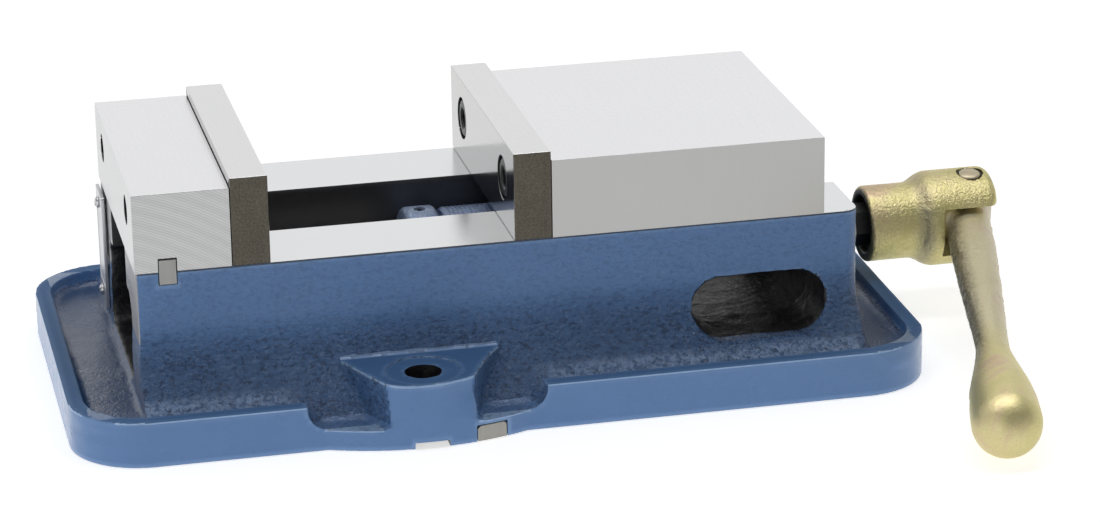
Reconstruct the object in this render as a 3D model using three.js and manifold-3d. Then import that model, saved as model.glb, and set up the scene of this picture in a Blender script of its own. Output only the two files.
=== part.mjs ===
// Angle-locking machine vise, six-inch jaws.
// Millimetres. +X runs along the bed from the fixed jaw to the crank, +Z is up.
// The origin is the centre of the base flange on its underside.
import * as THREE from 'three';
import { mergeVertices } from 'three/addons/utils/BufferGeometryUtils.js';
import Module from 'manifold-3d';

const wasm = await Module();
wasm.setup();

// ---------------------------------------------------------------- dimensions
const GAP = 0.3;                    // clearance between pieces that touch

// base flange
const BASE_HX = 211.75, BASE_HY = 113.3, RIM_Z = 22.6, BASE_R = 37;
const RIM_W = 8.5, POCKET_Z = 15.0, COVE_R = 32;
// bed
const BED_X0 = -176.25, BED_X1 = 181.5, BED_HY = 75, BED_Z = 83;
const SLOT_HY = 29.66, WAY_Z = 61, CAVE_HY = 45, FLOOR_Z = 17;
const END_X0 = 164, END_Z = 70;
const WIN_X0 = 95.5, WIN_X1 = 163.2, WIN_Z0 = 24, WIN_Z1 = 54.5;
// bolt lugs and swivel bulge
const LUG_X = -44.15, LUG_R = 123.2, LUG_Z = 32.0, LUG_HOLE_Y = 102.6, LUG_HOLE_R = 8.9, SCOOP_Z = 10.5;
const SPOT_R = 18, KEYWAY_HX = 8.4, KEYWAY_D = 3;
// jaws
const JAW_HY = 76.2, JAW_Z = 122.4, PLATE_Z = 127.07, SEAT_Z = BED_Z + GAP;
const FIX_X0 = -176.25, FIX_X1 = -129.8, FIXP_X0 = -129.5, FIXP_X1 = -111.3;
const MOVP_X0 = 7.3, MOVP_X1 = 25.7, MOV_X0 = 26.0, MOV_X1 = 162.2;
const SCREW_Y = 49.2, SCREW_Z = 106.8;
// screw line
const AXIS_Z = 48.25, SCREW_R = 14.3, JOURNAL_R = 12.7;
const HEX_AF = 19.05, HEX_X0 = 199, HEX_X1 = 238;
// crank
const HUB_X0 = 205.25, HUB_X1 = 273.45, PIN_X = 261.75, PIN_R = 5.6;
const FORK_Z0 = -11.6, FORK_Z1 = 14.0;   // fork slot of the hub, measured along the pin
const HUB_TILT = THREE.MathUtils.degToRad(8.3);
const ARM_SWING = THREE.MathUtils.degToRad(-13.2);
const ARM_LEN = 213, KNOB_R = 16.8;

// ---------------------------------------------------------------- helpers
const V2 = (x, y) => new THREE.Vector2(x, y);

function solid(geometry) {
  let g = geometry.clone();
  g.deleteAttribute('normal');
  g.deleteAttribute('uv');
  g = mergeVertices(g, 1e-4);
  const pos = g.attributes.position.array;
  const idx = g.index.array;
  const tris = [];
  let volume = 0;
  const a = new THREE.Vector3(), b = new THREE.Vector3(), c = new THREE.Vector3();
  for (let i = 0; i < idx.length; i += 3) {
    const [p, q, r] = [idx[i], idx[i + 1], idx[i + 2]];
    if (p === q || q === r || p === r) continue;
    tris.push(p, q, r);
    a.fromArray(pos, 3 * p); b.fromArray(pos, 3 * q); c.fromArray(pos, 3 * r);
    volume += a.dot(b.cross(c));
  }
  if (volume < 0) {
    for (let i = 0; i < tris.length; i += 3) [tris[i + 1], tris[i + 2]] = [tris[i + 2], tris[i + 1]];
  }
  return new wasm.Manifold(new wasm.Mesh({
    numProp: 3,
    vertProperties: new Float32Array(pos),
    triVerts: new Uint32Array(tris),
  }));
}

function geometryOf(manifold) {
  const mesh = manifold.getMesh();
  const n = mesh.numProp;
  const count = mesh.vertProperties.length / n;
  const pos = new Float32Array(count * 3);
  for (let i = 0; i < count; i++) for (let k = 0; k < 3; k++) pos[3 * i + k] = mesh.vertProperties[n * i + k];
  const g = new THREE.BufferGeometry();
  g.setAttribute('position', new THREE.BufferAttribute(pos, 3));
  g.setIndex(new THREE.BufferAttribute(new Uint32Array(mesh.triVerts), 1));
  g.computeVertexNormals();
  return g;
}

function box(x0, x1, y0, y1, z0, z1) {
  const g = new THREE.BoxGeometry(x1 - x0, y1 - y0, z1 - z0);
  g.translate((x0 + x1) / 2, (y0 + y1) / 2, (z0 + z1) / 2);
  return solid(g);
}

// flat outline pushed along one axis: 'z' takes (x,y), 'x' takes (y,z), 'y' takes (x,z)
function extrude(outline, from, to, axis = 'z', segments = 8) {
  const shape = outline instanceof THREE.Shape ? outline : new THREE.Shape(outline.map(([u, v]) => V2(u, v)));
  const g = new THREE.ExtrudeGeometry(shape, { depth: to - from, bevelEnabled: false, curveSegments: segments });
  g.translate(0, 0, from);
  const X = new THREE.Vector3(1, 0, 0), Y = new THREE.Vector3(0, 1, 0), Z = new THREE.Vector3(0, 0, 1);
  if (axis === 'x') g.applyMatrix4(new THREE.Matrix4().makeBasis(Y, Z, X));
  if (axis === 'y') g.applyMatrix4(new THREE.Matrix4().makeBasis(X, Z, Y));
  return solid(g);
}

function roundedRect(x0, x1, y0, y1, r) {
  const [r00, r10, r11, r01] = Array.isArray(r) ? r : [r, r, r, r];
  const s = new THREE.Shape();
  s.moveTo(x0 + r00, y0);
  s.lineTo(x1 - r10, y0);
  if (r10 > 0) s.absarc(x1 - r10, y0 + r10, r10, -Math.PI / 2, 0, false);
  s.lineTo(x1, y1 - r11);
  if (r11 > 0) s.absarc(x1 - r11, y1 - r11, r11, 0, Math.PI / 2, false);
  s.lineTo(x0 + r01, y1);
  if (r01 > 0) s.absarc(x0 + r01, y1 - r01, r01, Math.PI / 2, Math.PI, false);
  s.lineTo(x0, y0 + r00);
  if (r00 > 0) s.absarc(x0 + r00, y0 + r00, r00, Math.PI, Math.PI * 1.5, false);
  return s;
}

// revolved profile; points are [radius, distance along the axis]
function turned(profile, segments = 24) {
  const closed = [...profile];
  if (closed[0][0] > 0) closed.push(closed[0]);
  const g = new THREE.LatheGeometry(closed.map(([r, h]) => V2(r, h)), segments);
  return g;
}
function turnedX(profile, segments = 24, z = AXIS_Z) {
  const g = turned(profile, segments);
  g.rotateZ(-Math.PI / 2);
  g.translate(0, 0, z);
  return solid(g);
}
function rod(r, x0, x1, y, z, segments = 24) {
  const g = new THREE.CylinderGeometry(r, r, x1 - x0, segments);
  g.rotateZ(-Math.PI / 2);
  g.translate((x0 + x1) / 2, y, z);
  return solid(g);
}
function rodZ(r, z0, z1, x, y, segments = 24) {
  const g = new THREE.CylinderGeometry(r, r, z1 - z0, segments);
  g.rotateX(Math.PI / 2);
  g.translate(x, y, (z0 + z1) / 2);
  return solid(g);
}
function rodY(r, y0, y1, x, z, segments = 24) {
  const g = new THREE.CylinderGeometry(r, r, y1 - y0, segments);
  g.translate(x, (y0 + y1) / 2, z);
  return solid(g);
}
function hexPrism(af, x0, x1, tilt = 0, z = AXIS_Z) {
  const R = af / 2 / Math.cos(Math.PI / 6);
  const g = new THREE.CylinderGeometry(R, R, x1 - x0, 6);
  g.rotateZ(-Math.PI / 2);
  g.rotateX(tilt);
  g.translate((x0 + x1) / 2, 0, z);
  return solid(g);
}
const join = (first, ...rest) => rest.reduce((m, s) => m.add(s), first);
const cut = (first, ...rest) => rest.reduce((m, s) => m.subtract(s), first);

// ---------------------------------------------------------------- materials
const paint = (c) => new THREE.MeshStandardMaterial({ color: c, roughness: 0.42, metalness: 0.05 });
const metal = (c, rough = 0.35) => new THREE.MeshStandardMaterial({ color: c, roughness: rough, metalness: 0.95 });
const BLUE = 0x2f5f94, GROUND = 0xb9bcbe, SIDE = 0x9fa1a0, HARD = 0x8a8782;
const BLACK = 0x1b1b1c, ZINC = 0xb6a96a, STEEL = 0x9a9c9e, BRONZE = 0x9c7a45, LIGHT = 0xc9cccf;

const vise = new THREE.Group();
function piece(name, shape, material, parent = vise) {
  const m = new THREE.Mesh(shape instanceof THREE.BufferGeometry ? shape : geometryOf(shape), material);
  m.name = name;
  parent.add(m);
  return m;
}

// ---------------------------------------------------------------- bed body
function makeBed() {
  let b = extrude(roundedRect(-BASE_HX, BASE_HX, -BASE_HY, BASE_HY, BASE_R), 0, RIM_Z, 'z', 6);
  b = b.subtract(extrude(roundedRect(-BASE_HX + RIM_W, BASE_HX - RIM_W, -BASE_HY + RIM_W, BASE_HY - RIM_W, BASE_R - RIM_W),
    POCKET_Z, RIM_Z + 10, 'z', 6));

  // coves that run up from the pocket floor to the walls
  for (const s of [-1, 1]) {
    const cove = [[s * (BED_HY - 6), 12], [s * (BASE_HY - RIM_W + 0.5), 12], [s * (BASE_HY - RIM_W + 0.5), POCKET_Z + 0.2]];
    for (const deg of [78, 69, 60, 50, 40, 30, 20, 10, 0]) {
      const t = THREE.MathUtils.degToRad(deg);
      cove.push([s * (BED_HY + COVE_R * (1 - Math.cos(t))), POCKET_Z + COVE_R * (1 - Math.sin(t))]);
    }
    cove.push([s * (BED_HY - 6), POCKET_Z + COVE_R]);
    b = b.add(extrude(cove, BED_X0, BED_X1, 'x'));
  }
  // walls and end wall, one block with rounded right-hand corners
  b = b.add(extrude(roundedRect(BED_X0, BED_X1, -BED_HY, BED_HY, [0, 10, 10, 0]), POCKET_Z - 3, BED_Z, 'z', 5));

  // bulges on the swivel radius, and the bolt lugs above them
  const arc = (x0, x1, side, n) => {
    const pts = [];
    for (let i = 0; i <= n; i++) {
      const x = x0 + (x1 - x0) * i / n;
      pts.push([x, side * Math.sqrt(LUG_R * LUG_R - (x - LUG_X) ** 2)]);
    }
    return pts;
  };
  for (const s of [-1, 1]) {
    const foot = [[-97, s * 100], [-97, s * 113.2], ...arc(-95.5, -5, s, 12), [-5, s * 100]];
    b = b.add(extrude(foot, 0, SCOOP_Z, 'z'));
    const flanks = [[-83.2, s * 75], [-78.6, s * 85.0], [-72.0, s * 100.7], [-66.8, s * 112.5], [-64.0, s * 117.2], [-60.0, s * 120.6],
      ...arc(-54, -37, s, 3), [-30.5, s * 120.0], [-25.5, s * 118.2], [-22.0, s * 115.4], [-18.1, s * 107.5], [-13.3, s * 97.5], [-6.9, s * 86.6], [1.2, s * 75]];
    const lug = [[-83.2, s * 70], ...flanks, [1.2, s * 70]];
    // scoops beside the lug, cut through the rim
    b = cut(b,
      extrude([[-101, s * 140], [-99, s * 106], [-94, s * 99], [-84, s * 95], [-74, s * 96], [-69, s * 103], [-66, s * 140]], SCOOP_Z, 26, 'z'),
      extrude([[-19, s * 140], [-17, s * 103], [-12, s * 96], [-2, s * 95], [7, s * 99], [12, s * 106], [13.5, s * 140]], SCOOP_Z, 26, 'z'));
    b = b.add(extrude(lug, SCOOP_Z - 2, LUG_Z, 'z'));
    b = cut(b, rodZ(LUG_HOLE_R, -5, 60, LUG_X, s * LUG_HOLE_Y, 20), rodZ(SPOT_R, LUG_Z - 0.8, 45, LUG_X, s * LUG_HOLE_Y, 24));
  }

  // channel: open slot between the ways, wider cavity under them
  b = cut(b,
    box(BED_X0 - 3, END_X0, -SLOT_HY, SLOT_HY, FLOOR_Z, BED_Z + 10),
    box(BED_X0 - 3, END_X0, -CAVE_HY, CAVE_HY, FLOOR_Z, WAY_Z),
    box(END_X0 - 5, BED_X1 + 10, -SLOT_HY, SLOT_HY, END_Z, BED_Z + 10));

  // clean-out windows through both walls
  const rw = (WIN_Z1 - WIN_Z0) / 2;
  b = b.subtract(extrude(roundedRect(WIN_X0, WIN_X1, WIN_Z0, WIN_Z1, rw - 0.01), -90, 90, 'y', 6));

  // bore of the end wall
  b = b.subtract(rod(16, END_X0 - 2, BED_X1 + 5, 0, AXIS_Z, 32));

  // holes for the fixed jaw bolts, and the keyway under that jaw
  for (const s of [-1, 1]) {
    b = cut(b, rodZ(7, -5, 90, -146, s * 60, 16), rodZ(10.4, -5, 44, -146, s * 60, 20));
  }
  b = b.subtract(box(-164.95, -155.95, -80, 80, 76.3, BED_Z + 5));

  // cross keyway in the underside, and the seat of the index insert
  b = b.subtract(box(LUG_X - KEYWAY_HX, LUG_X + KEYWAY_HX, -130, 130, -5, KEYWAY_D));
  b = b.subtract(box(-22.3, -6.7, -128, -114.6, -5, 8.3));

  // drive screw holes behind the data plate
  for (const z of [74, 27]) b = b.subtract(rod(1.5, BED_X0 - 2, BED_X0 + 7, 62.5, z, 8));
  return b;
}
piece('vise_body', makeBed(), paint(BLUE));

// index insert, curved to the swivel radius
{
  const pts = [[-22, -115], [-7, -115]];
  for (let i = 0; i <= 3; i++) {
    const x = -7 - 15 * i / 3;
    pts.push([x, -Math.sqrt(LUG_R * LUG_R - (x - LUG_X) ** 2)]);
  }
  let insert = extrude(pts, 0, 8, 'z');
  insert = insert.subtract(extrude([[-23, 6], [-23, 9], [-20, 9]], -130, -100, 'y'));
  insert = insert.subtract(extrude([[-6, 6], [-9, 9], [-6, 9]], -130, -100, 'y'));
  piece('index_insert', insert, metal(STEEL, 0.4));
}

// data plate and its drive screws
{
  const x1 = BED_X0 - GAP, x0 = x1 - 1.7;
  let plate = extrude(roundedRect(50, 75, 20, 80, 1.5), x0, x1, 'x', 3);
  for (const z of [74, 27]) plate = plate.subtract(rod(1.7, x0 - 2, x1 + 2, 62.5, z, 8));
  piece('data_plate', plate, metal(LIGHT, 0.4));
  for (const [name, z] of [['data_plate_screw_upper', 74], ['data_plate_screw_lower', 27]]) {
    const g = turned([[0, -1.9], [1.6, -1.6], [2.8, -0.7], [3.0, 0], [1.2, 0], [1.2, 7], [0, 7]], 12);
    g.rotateZ(-Math.PI / 2);
    g.translate(x0 - GAP, 62.5, z);
    piece(name, solid(g), metal(LIGHT, 0.35));
  }
}

// ---------------------------------------------------------------- fixed jaw
{
  let j = box(FIX_X0, FIX_X1, -JAW_HY, JAW_HY, SEAT_Z, JAW_Z);
  for (const s of [-1, 1]) {
    j = cut(j, rod(6.75, FIX_X0 - 2, FIX_X1 + 2, s * SCREW_Y, SCREW_Z, 20), rod(7.2, FIX_X0 - 2, FIX_X0 + 20, s * SCREW_Y, SCREW_Z, 24));
    j = cut(j, rodZ(6.75, 70, 98.5, -146, s * 60, 16));
  }
  j = j.subtract(box(-164.95, -155.95, -80, 80, 80, 90.0));
  piece('fixed_jaw', j, metal(GROUND, 0.3));
}
for (const [name, y0, y1] of [['fixed_jaw_key_front', -JAW_HY + 0.5, -31], ['fixed_jaw_key_rear', 31, JAW_HY - 0.5]]) {
  piece(name, box(-164.65, -156.25, y0, y1, 76.6, 89.3), metal(STEEL, 0.4));
}

// socket head cap screw: head from 0 to head height, shank behind it, along +X; flip = true points the other way
function capScrew(headR, headH, shankR, length, socketAF, socketD) {
  const c = 0.7;
  let s = turned([[0, 0], [headR - c, 0], [headR, c], [headR, headH], [shankR, headH], [shankR, headH + length - 1.2],
    [shankR - 1.2, headH + length], [0, headH + length]], 18);
  s.rotateZ(-Math.PI / 2);
  const R = socketAF / 2 / Math.cos(Math.PI / 6);
  const h = new THREE.CylinderGeometry(R, R, socketD + 1, 6);
  h.rotateZ(-Math.PI / 2);
  h.translate((socketD - 1) / 2, 0, 0);
  return solid(s).subtract(solid(h));
}
function jawPlate(x0, x1, faceX, into) {
  let p = box(x0, x1, -JAW_HY, JAW_HY, SEAT_Z, PLATE_Z);
  for (const s of [-1, 1]) {
    p = cut(p, rod(7.2, x0 - 2, x1 + 2, s * SCREW_Y, SCREW_Z, 20));
    const a = faceX, b = faceX + into * 13;
    p = p.subtract(rod(10.75, Math.min(a, b) - (into > 0 ? 2 : 0), Math.max(a, b) + (into > 0 ? 0 : 2), s * SCREW_Y, SCREW_Z, 24));
  }
  return p;
}
piece('fixed_jaw_plate', jawPlate(FIXP_X0, FIXP_X1, FIXP_X1, -1), metal(HARD, 0.3));
piece('movable_jaw_plate', jawPlate(MOVP_X0, MOVP_X1, MOVP_X0, 1), metal(HARD, 0.3));
for (const [name, s] of [['front', -1], ['rear', 1]]) {
  const fixedScrew = geometryOf(capScrew(9.5, 12.2, 6.35, 30, 9.5, 6.5));
  fixedScrew.rotateZ(Math.PI);
  fixedScrew.translate(FIXP_X1 - 0.5, s * SCREW_Y, SCREW_Z);
  piece(`fixed_plate_screw_${name}`, fixedScrew, metal(BLACK, 0.45));
  const movScrew = geometryOf(capScrew(9.5, 12.2, 6.35, 28, 9.5, 6.5));
  movScrew.translate(MOVP_X0 + 0.5, s * SCREW_Y, SCREW_Z);
  piece(`movable_plate_screw_${name}`, movScrew, metal(BLACK, 0.45));
  const bolt = geometryOf(capScrew(9.5, 12.7, 6.35, 53, 9.5, 6.5));
  bolt.rotateY(-Math.PI / 2);
  bolt.translate(-146, s * 60, 31);
  piece(`fixed_jaw_bolt_${name}`, bolt, metal(BLACK, 0.45));
}

// ---------------------------------------------------------------- movable jaw
{
  let j = box(MOV_X0, MOV_X1, -JAW_HY, JAW_HY, SEAT_Z, JAW_Z);
  j = j.add(box(106, 160, -29.3, 29.3, 76.6, SEAT_Z + 1));       // guide tongue in the slot
  const pocket = [[57, 80], [100, 80], [100, 114], [31, 114], [31, 109], [57, 83]];
  j = j.subtract(extrude(pocket, -20, 20, 'y'));
  const socket = new THREE.SphereGeometry(11.5, 20, 12);
  socket.translate(45.8, 0, 97.8);
  j = j.subtract(solid(socket));
  for (const s of [-1, 1]) j = j.subtract(rod(6.75, MOV_X0 - 2, 54, s * SCREW_Y, SCREW_Z, 20));
  j = j.subtract(rod(5.4, 95, MOV_X1 + 5, 0, 103, 16));
  piece('movable_jaw', j, metal(SIDE, 0.32));
}
// set screw behind the horn, in the back of the jaw
{
  let s = rod(5.0, 82.4, 118, 0, 103, 16);
  s = s.subtract(hexPrism(4.8, 112, 120, 0, 103));
  piece('jaw_set_screw', s, metal(BLACK, 0.45));
}
// half-ball segment between the horn's hook and the jaw's socket
{
  const g = turned([[0, -11], [4.2, -10.16], [7.8, -7.75], [10.16, -4.2], [11, -0.3], [0, -0.3]], 20);
  // the flat side faces up the hook, along (1, 0, 1)
  g.applyMatrix4(new THREE.Matrix4().makeRotationFromQuaternion(
    new THREE.Quaternion().setFromUnitVectors(new THREE.Vector3(0, 1, 0), new THREE.Vector3(1, 0, 1).normalize())));
  g.translate(46, 0, 98);
  piece('jaw_segment', solid(g), metal(STEEL, 0.3));
}
// nut: barrel round the screw, hooked horn up into the jaw
{
  let n = turnedX([[0, -13.75], [26.5, -13.75], [27.5, -12.75], [27.5, 77], [26.5, 78], [0, 78]], 32);
  n = n.add(turnedX([[0, -33.25], [22, -33.25], [22, -13], [0, -13]], 28));
  const horn = [[58, 55], [82, 55], [82, 112], [36, 112], [36, 108], [58, 86]];
  n = n.add(extrude(horn, -18, 18, 'y'));
  n = cut(n, rod(14.9, 15, 90, 0, AXIS_Z, 32), rod(18.6, -40, 20, 0, AXIS_Z, 32));
  n = n.subtract(rodZ(2.6, 66, 72, -25, 0, 12));
  piece('nut', n, metal(STEEL, 0.4));
}
{
  let c = turnedX([[22.3, -33.25], [27.5, -33.25], [29, -31.5], [29, -18], [27.5, -16.25], [22.3, -16.25]], 32);
  c = c.subtract(rodZ(2.9, 66, 80, -25, 0, 12));
  piece('nut_wiper_collar', c, paint(0x54749c));
  piece('nut_collar_grub_screw', rodZ(2.3, AXIS_Z + 22 - 3.6, AXIS_Z + 28.2, -25, 0, 12).subtract(rodZ(1.2, AXIS_Z + 26, AXIS_Z + 29, -25, 0, 6)), metal(BLACK, 0.4));
}

// ---------------------------------------------------------------- screw line
{
  let s = turnedX([[0, -141], [11.5, -141], [13, -139.5], [13, -126], [SCREW_R - 1.4, -125], [SCREW_R, -123.6], [SCREW_R, 146], [JOURNAL_R, 148], [JOURNAL_R, 150],
    [19, 150], [19, 156], [JOURNAL_R, 156], [JOURNAL_R, HEX_X0], [0, HEX_X0]], 24);
  s = s.add(hexPrism(HEX_AF, HEX_X0 - 1, HEX_X1, HUB_TILT));
  s = s.subtract(rodZ(2.2, AXIS_Z - 20, AXIS_Z + 20, -134, 0, 10));
  piece('lead_screw', s, metal(STEEL, 0.3));
}
{
  let c = turnedX([[13.3, -140], [16.2, -140], [17, -139.2], [17, -128.8], [16.2, -128], [13.3, -128]], 24);
  c = c.subtract(rodZ(2.2, AXIS_Z - 20, AXIS_Z + 20, -134, 0, 10));
  piece('screw_stop_collar', c, metal(STEEL, 0.4));
  piece('stop_collar_pin', rodZ(1.9, AXIS_Z - 16.6, AXIS_Z + 16.6, -134, 0, 10), metal(STEEL, 0.35));
}
const ring = (r0, r1, x0, x1, n = 24) => turnedX([[r0, x0], [r1, x0], [r1, x1], [r0, x1]], n);
piece('thrust_washer_inner', ring(13.1, 20, 156.3, 158.3), metal(STEEL, 0.25));
piece('thrust_bearing_cage', ring(13.1, 19.5, 158.6, 161.0), metal(BRONZE, 0.35));
piece('thrust_washer_outer', ring(13.1, 20, 161.3, 163.7), metal(STEEL, 0.25));
piece('screw_seal', ring(13.1, 15.6, 164.4, 166.7), new THREE.MeshStandardMaterial({ color: 0x151515, roughness: 0.8, metalness: 0 }));
{
  let b = turnedX([[13.1, 167], [15.65, 167], [15.65, 181.8], [24, 181.8], [24, 185], [23, 186], [13.1, 186]], 32);
  for (const a of [90, 210, 330]) {
    const t = THREE.MathUtils.degToRad(a);
    b = b.subtract(rod(1.6, 183, 190, 19.3 * Math.cos(t), AXIS_Z + 19.3 * Math.sin(t), 8));
  }
  piece('bearing_retainer', b, metal(BLACK, 0.45));
}
{
  let c = turnedX([[13.0, 186.6], [17, 186.6], [18, 187.6], [18, 195], [17, 196], [13.0, 196]], 24);
  c = c.subtract(rodZ(2.5, AXIS_Z + 12, AXIS_Z + 20, 191.3, 0, 10));
  piece('lock_collar', c, metal(BLACK, 0.4));
  piece('lock_collar_screw', rodZ(2.1, AXIS_Z + 13.0, AXIS_Z + 17.6, 191.3, 0, 10).subtract(rodZ(1.2, AXIS_Z + 15.4, AXIS_Z + 19, 191.3, 0, 6)), metal(STEEL, 0.4));
}

// ---------------------------------------------------------------- crank
// Local frames: the pivot pin is +Z, the arm points along -Y before its swing.
const crank = new THREE.Group();
crank.position.set(PIN_X, 0, AXIS_Z);
crank.rotation.x = HUB_TILT;
vise.add(crank);
{
  const p = [[0, HUB_X0 - PIN_X], [17, HUB_X0 - PIN_X], [19.5, HUB_X0 - PIN_X + 2], [19.5, -31], [20.4, -29.4], [23.6, -26], [24.5, -24], [24.5, 5.7], [23.6, 8.7], [21.4, 10.9],
    [18.6, HUB_X1 - PIN_X], [0, HUB_X1 - PIN_X]];
  const g = turned(p, 32);
  g.rotateZ(-Math.PI / 2);
  let h = solid(g);
  // ears rounded in plan
  h = h.intersect(extrude(roundedRect(-70, HUB_X1 - PIN_X, -25, 25, [0, 15, 15, 0]), -40, 40, 'z', 6));
  h = h.subtract(box(-19, 30, -40, 40, FORK_Z0, FORK_Z1));
  h = h.subtract(rodZ(PIN_R + 0.3, -40, 40, 0, 0, 20));
  const mouth = new THREE.CylinderGeometry(14.6, 14.6, 10, 24);
  mouth.rotateZ(-Math.PI / 2);
  mouth.translate(-58 + 1, 0, 0);
  h = h.subtract(solid(mouth));
  const R = (HEX_AF + 0.7) / 2 / Math.cos(Math.PI / 6);
  const sock = new THREE.CylinderGeometry(R, R, 34, 6);
  sock.rotateZ(-Math.PI / 2);
  sock.translate(-55 + 17, 0, 0);
  h = h.subtract(solid(sock));
  piece('crank_hub', h, metal(ZINC, 0.45), crank);
}
{
  const g = turned([[0, -24.2], [5.0, -24.0], [PIN_R, -23.4], [PIN_R, 23.4], [5.0, 24.0], [0, 24.2]], 20);
  g.rotateX(Math.PI / 2);
  piece('crank_pivot_pin', solid(g), metal(0xb9ae84, 0.4), crank);
}
const swing = new THREE.Group();
swing.rotation.z = ARM_SWING;
crank.add(swing);
{
  const eye = rodZ(12.6, FORK_Z0 + 0.4, FORK_Z1 - 0.4, 0, 0, 24);
  // round shank, thinning towards the knob
  const shankProfile = [[0, 6], [11.2, 6], [11.2, 26], [11.0, 45], [10.4, 69], [9.1, 106], [7.7, 141], [7.7, 150], [0, 150]];
  const shank = turned(shankProfile, 20);
  shank.rotateX(Math.PI);          // along -Y
  const knobProfile = [[0, 110], [6.6, 110], [7.7, 141], [8.6, 150], [10.1, 160], [12.5, 173], [15.1, 188], [16.5, 202], [KNOB_R, ARM_LEN]];
  for (let i = 1; i < 6; i++) {
    const a = i / 6 * Math.PI / 2;
    knobProfile.push([KNOB_R * Math.cos(a), ARM_LEN + KNOB_R * Math.sin(a)]);
  }
  knobProfile.push([0, ARM_LEN + KNOB_R]);
  const knob = turned(knobProfile, 24);
  knob.rotateX(Math.PI);
  let a = join(eye, solid(shank), solid(knob));
  a = a.subtract(rodZ(PIN_R + 0.4, -20, 20, 0, 0, 20));
  piece('crank_arm', a, metal(ZINC, 0.45), swing);
}

export default vise;
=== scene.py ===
import math
import bmesh
import bpy
import numpy as np
from mathutils import Matrix, Vector


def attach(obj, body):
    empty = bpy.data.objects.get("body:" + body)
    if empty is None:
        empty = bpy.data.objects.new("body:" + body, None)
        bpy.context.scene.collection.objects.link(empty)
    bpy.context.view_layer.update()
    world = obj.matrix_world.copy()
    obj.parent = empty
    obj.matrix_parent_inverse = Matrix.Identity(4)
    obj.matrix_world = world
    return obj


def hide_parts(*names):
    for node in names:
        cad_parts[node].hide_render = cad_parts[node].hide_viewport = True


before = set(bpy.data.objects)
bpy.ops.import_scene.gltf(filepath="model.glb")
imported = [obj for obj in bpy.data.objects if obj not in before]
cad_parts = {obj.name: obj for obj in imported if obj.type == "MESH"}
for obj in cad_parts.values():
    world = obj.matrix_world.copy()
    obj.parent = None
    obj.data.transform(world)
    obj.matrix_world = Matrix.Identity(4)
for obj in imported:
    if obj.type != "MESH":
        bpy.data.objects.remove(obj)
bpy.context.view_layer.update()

MM = 0.001
AXIS_Z = 48.25
TILT = math.radians(8.3)
SWING = math.radians(-13.2)
PIN_X = 261.75

# ------------------------------------------------------------------ camera
# It is made first, at the photograph's viewing angle.
AZ, EL, ROLL = math.radians(-12.463), math.radians(19.797), math.radians(-0.901)
back = Vector((math.sin(AZ) * math.cos(EL), -math.cos(AZ) * math.cos(EL), math.sin(EL)))
right = (-back).cross(Vector((0, 0, 1))).normalized()
up = right.cross(-back).normalized()
right2 = math.cos(ROLL) * right + math.sin(ROLL) * up
up2 = -math.sin(ROLL) * right + math.cos(ROLL) * up
cam_data = bpy.data.cameras.new("camera")
cam_data.lens = 123.755
cam_data.sensor_width = 36.0
cam_data.sensor_fit = "HORIZONTAL"
cam_data.clip_start, cam_data.clip_end = 0.05, 60
cam = bpy.data.objects.new("camera", cam_data)
bpy.context.scene.collection.objects.link(cam)
m = Matrix.Identity(4)
for row in range(3):
    m[row][0], m[row][1], m[row][2] = right2[row], up2[row], back[row]
cam.matrix_world = Matrix.Translation(Vector((-0.34660, -1.75480, 0.69025))) @ m
bpy.context.scene.camera = cam

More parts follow.
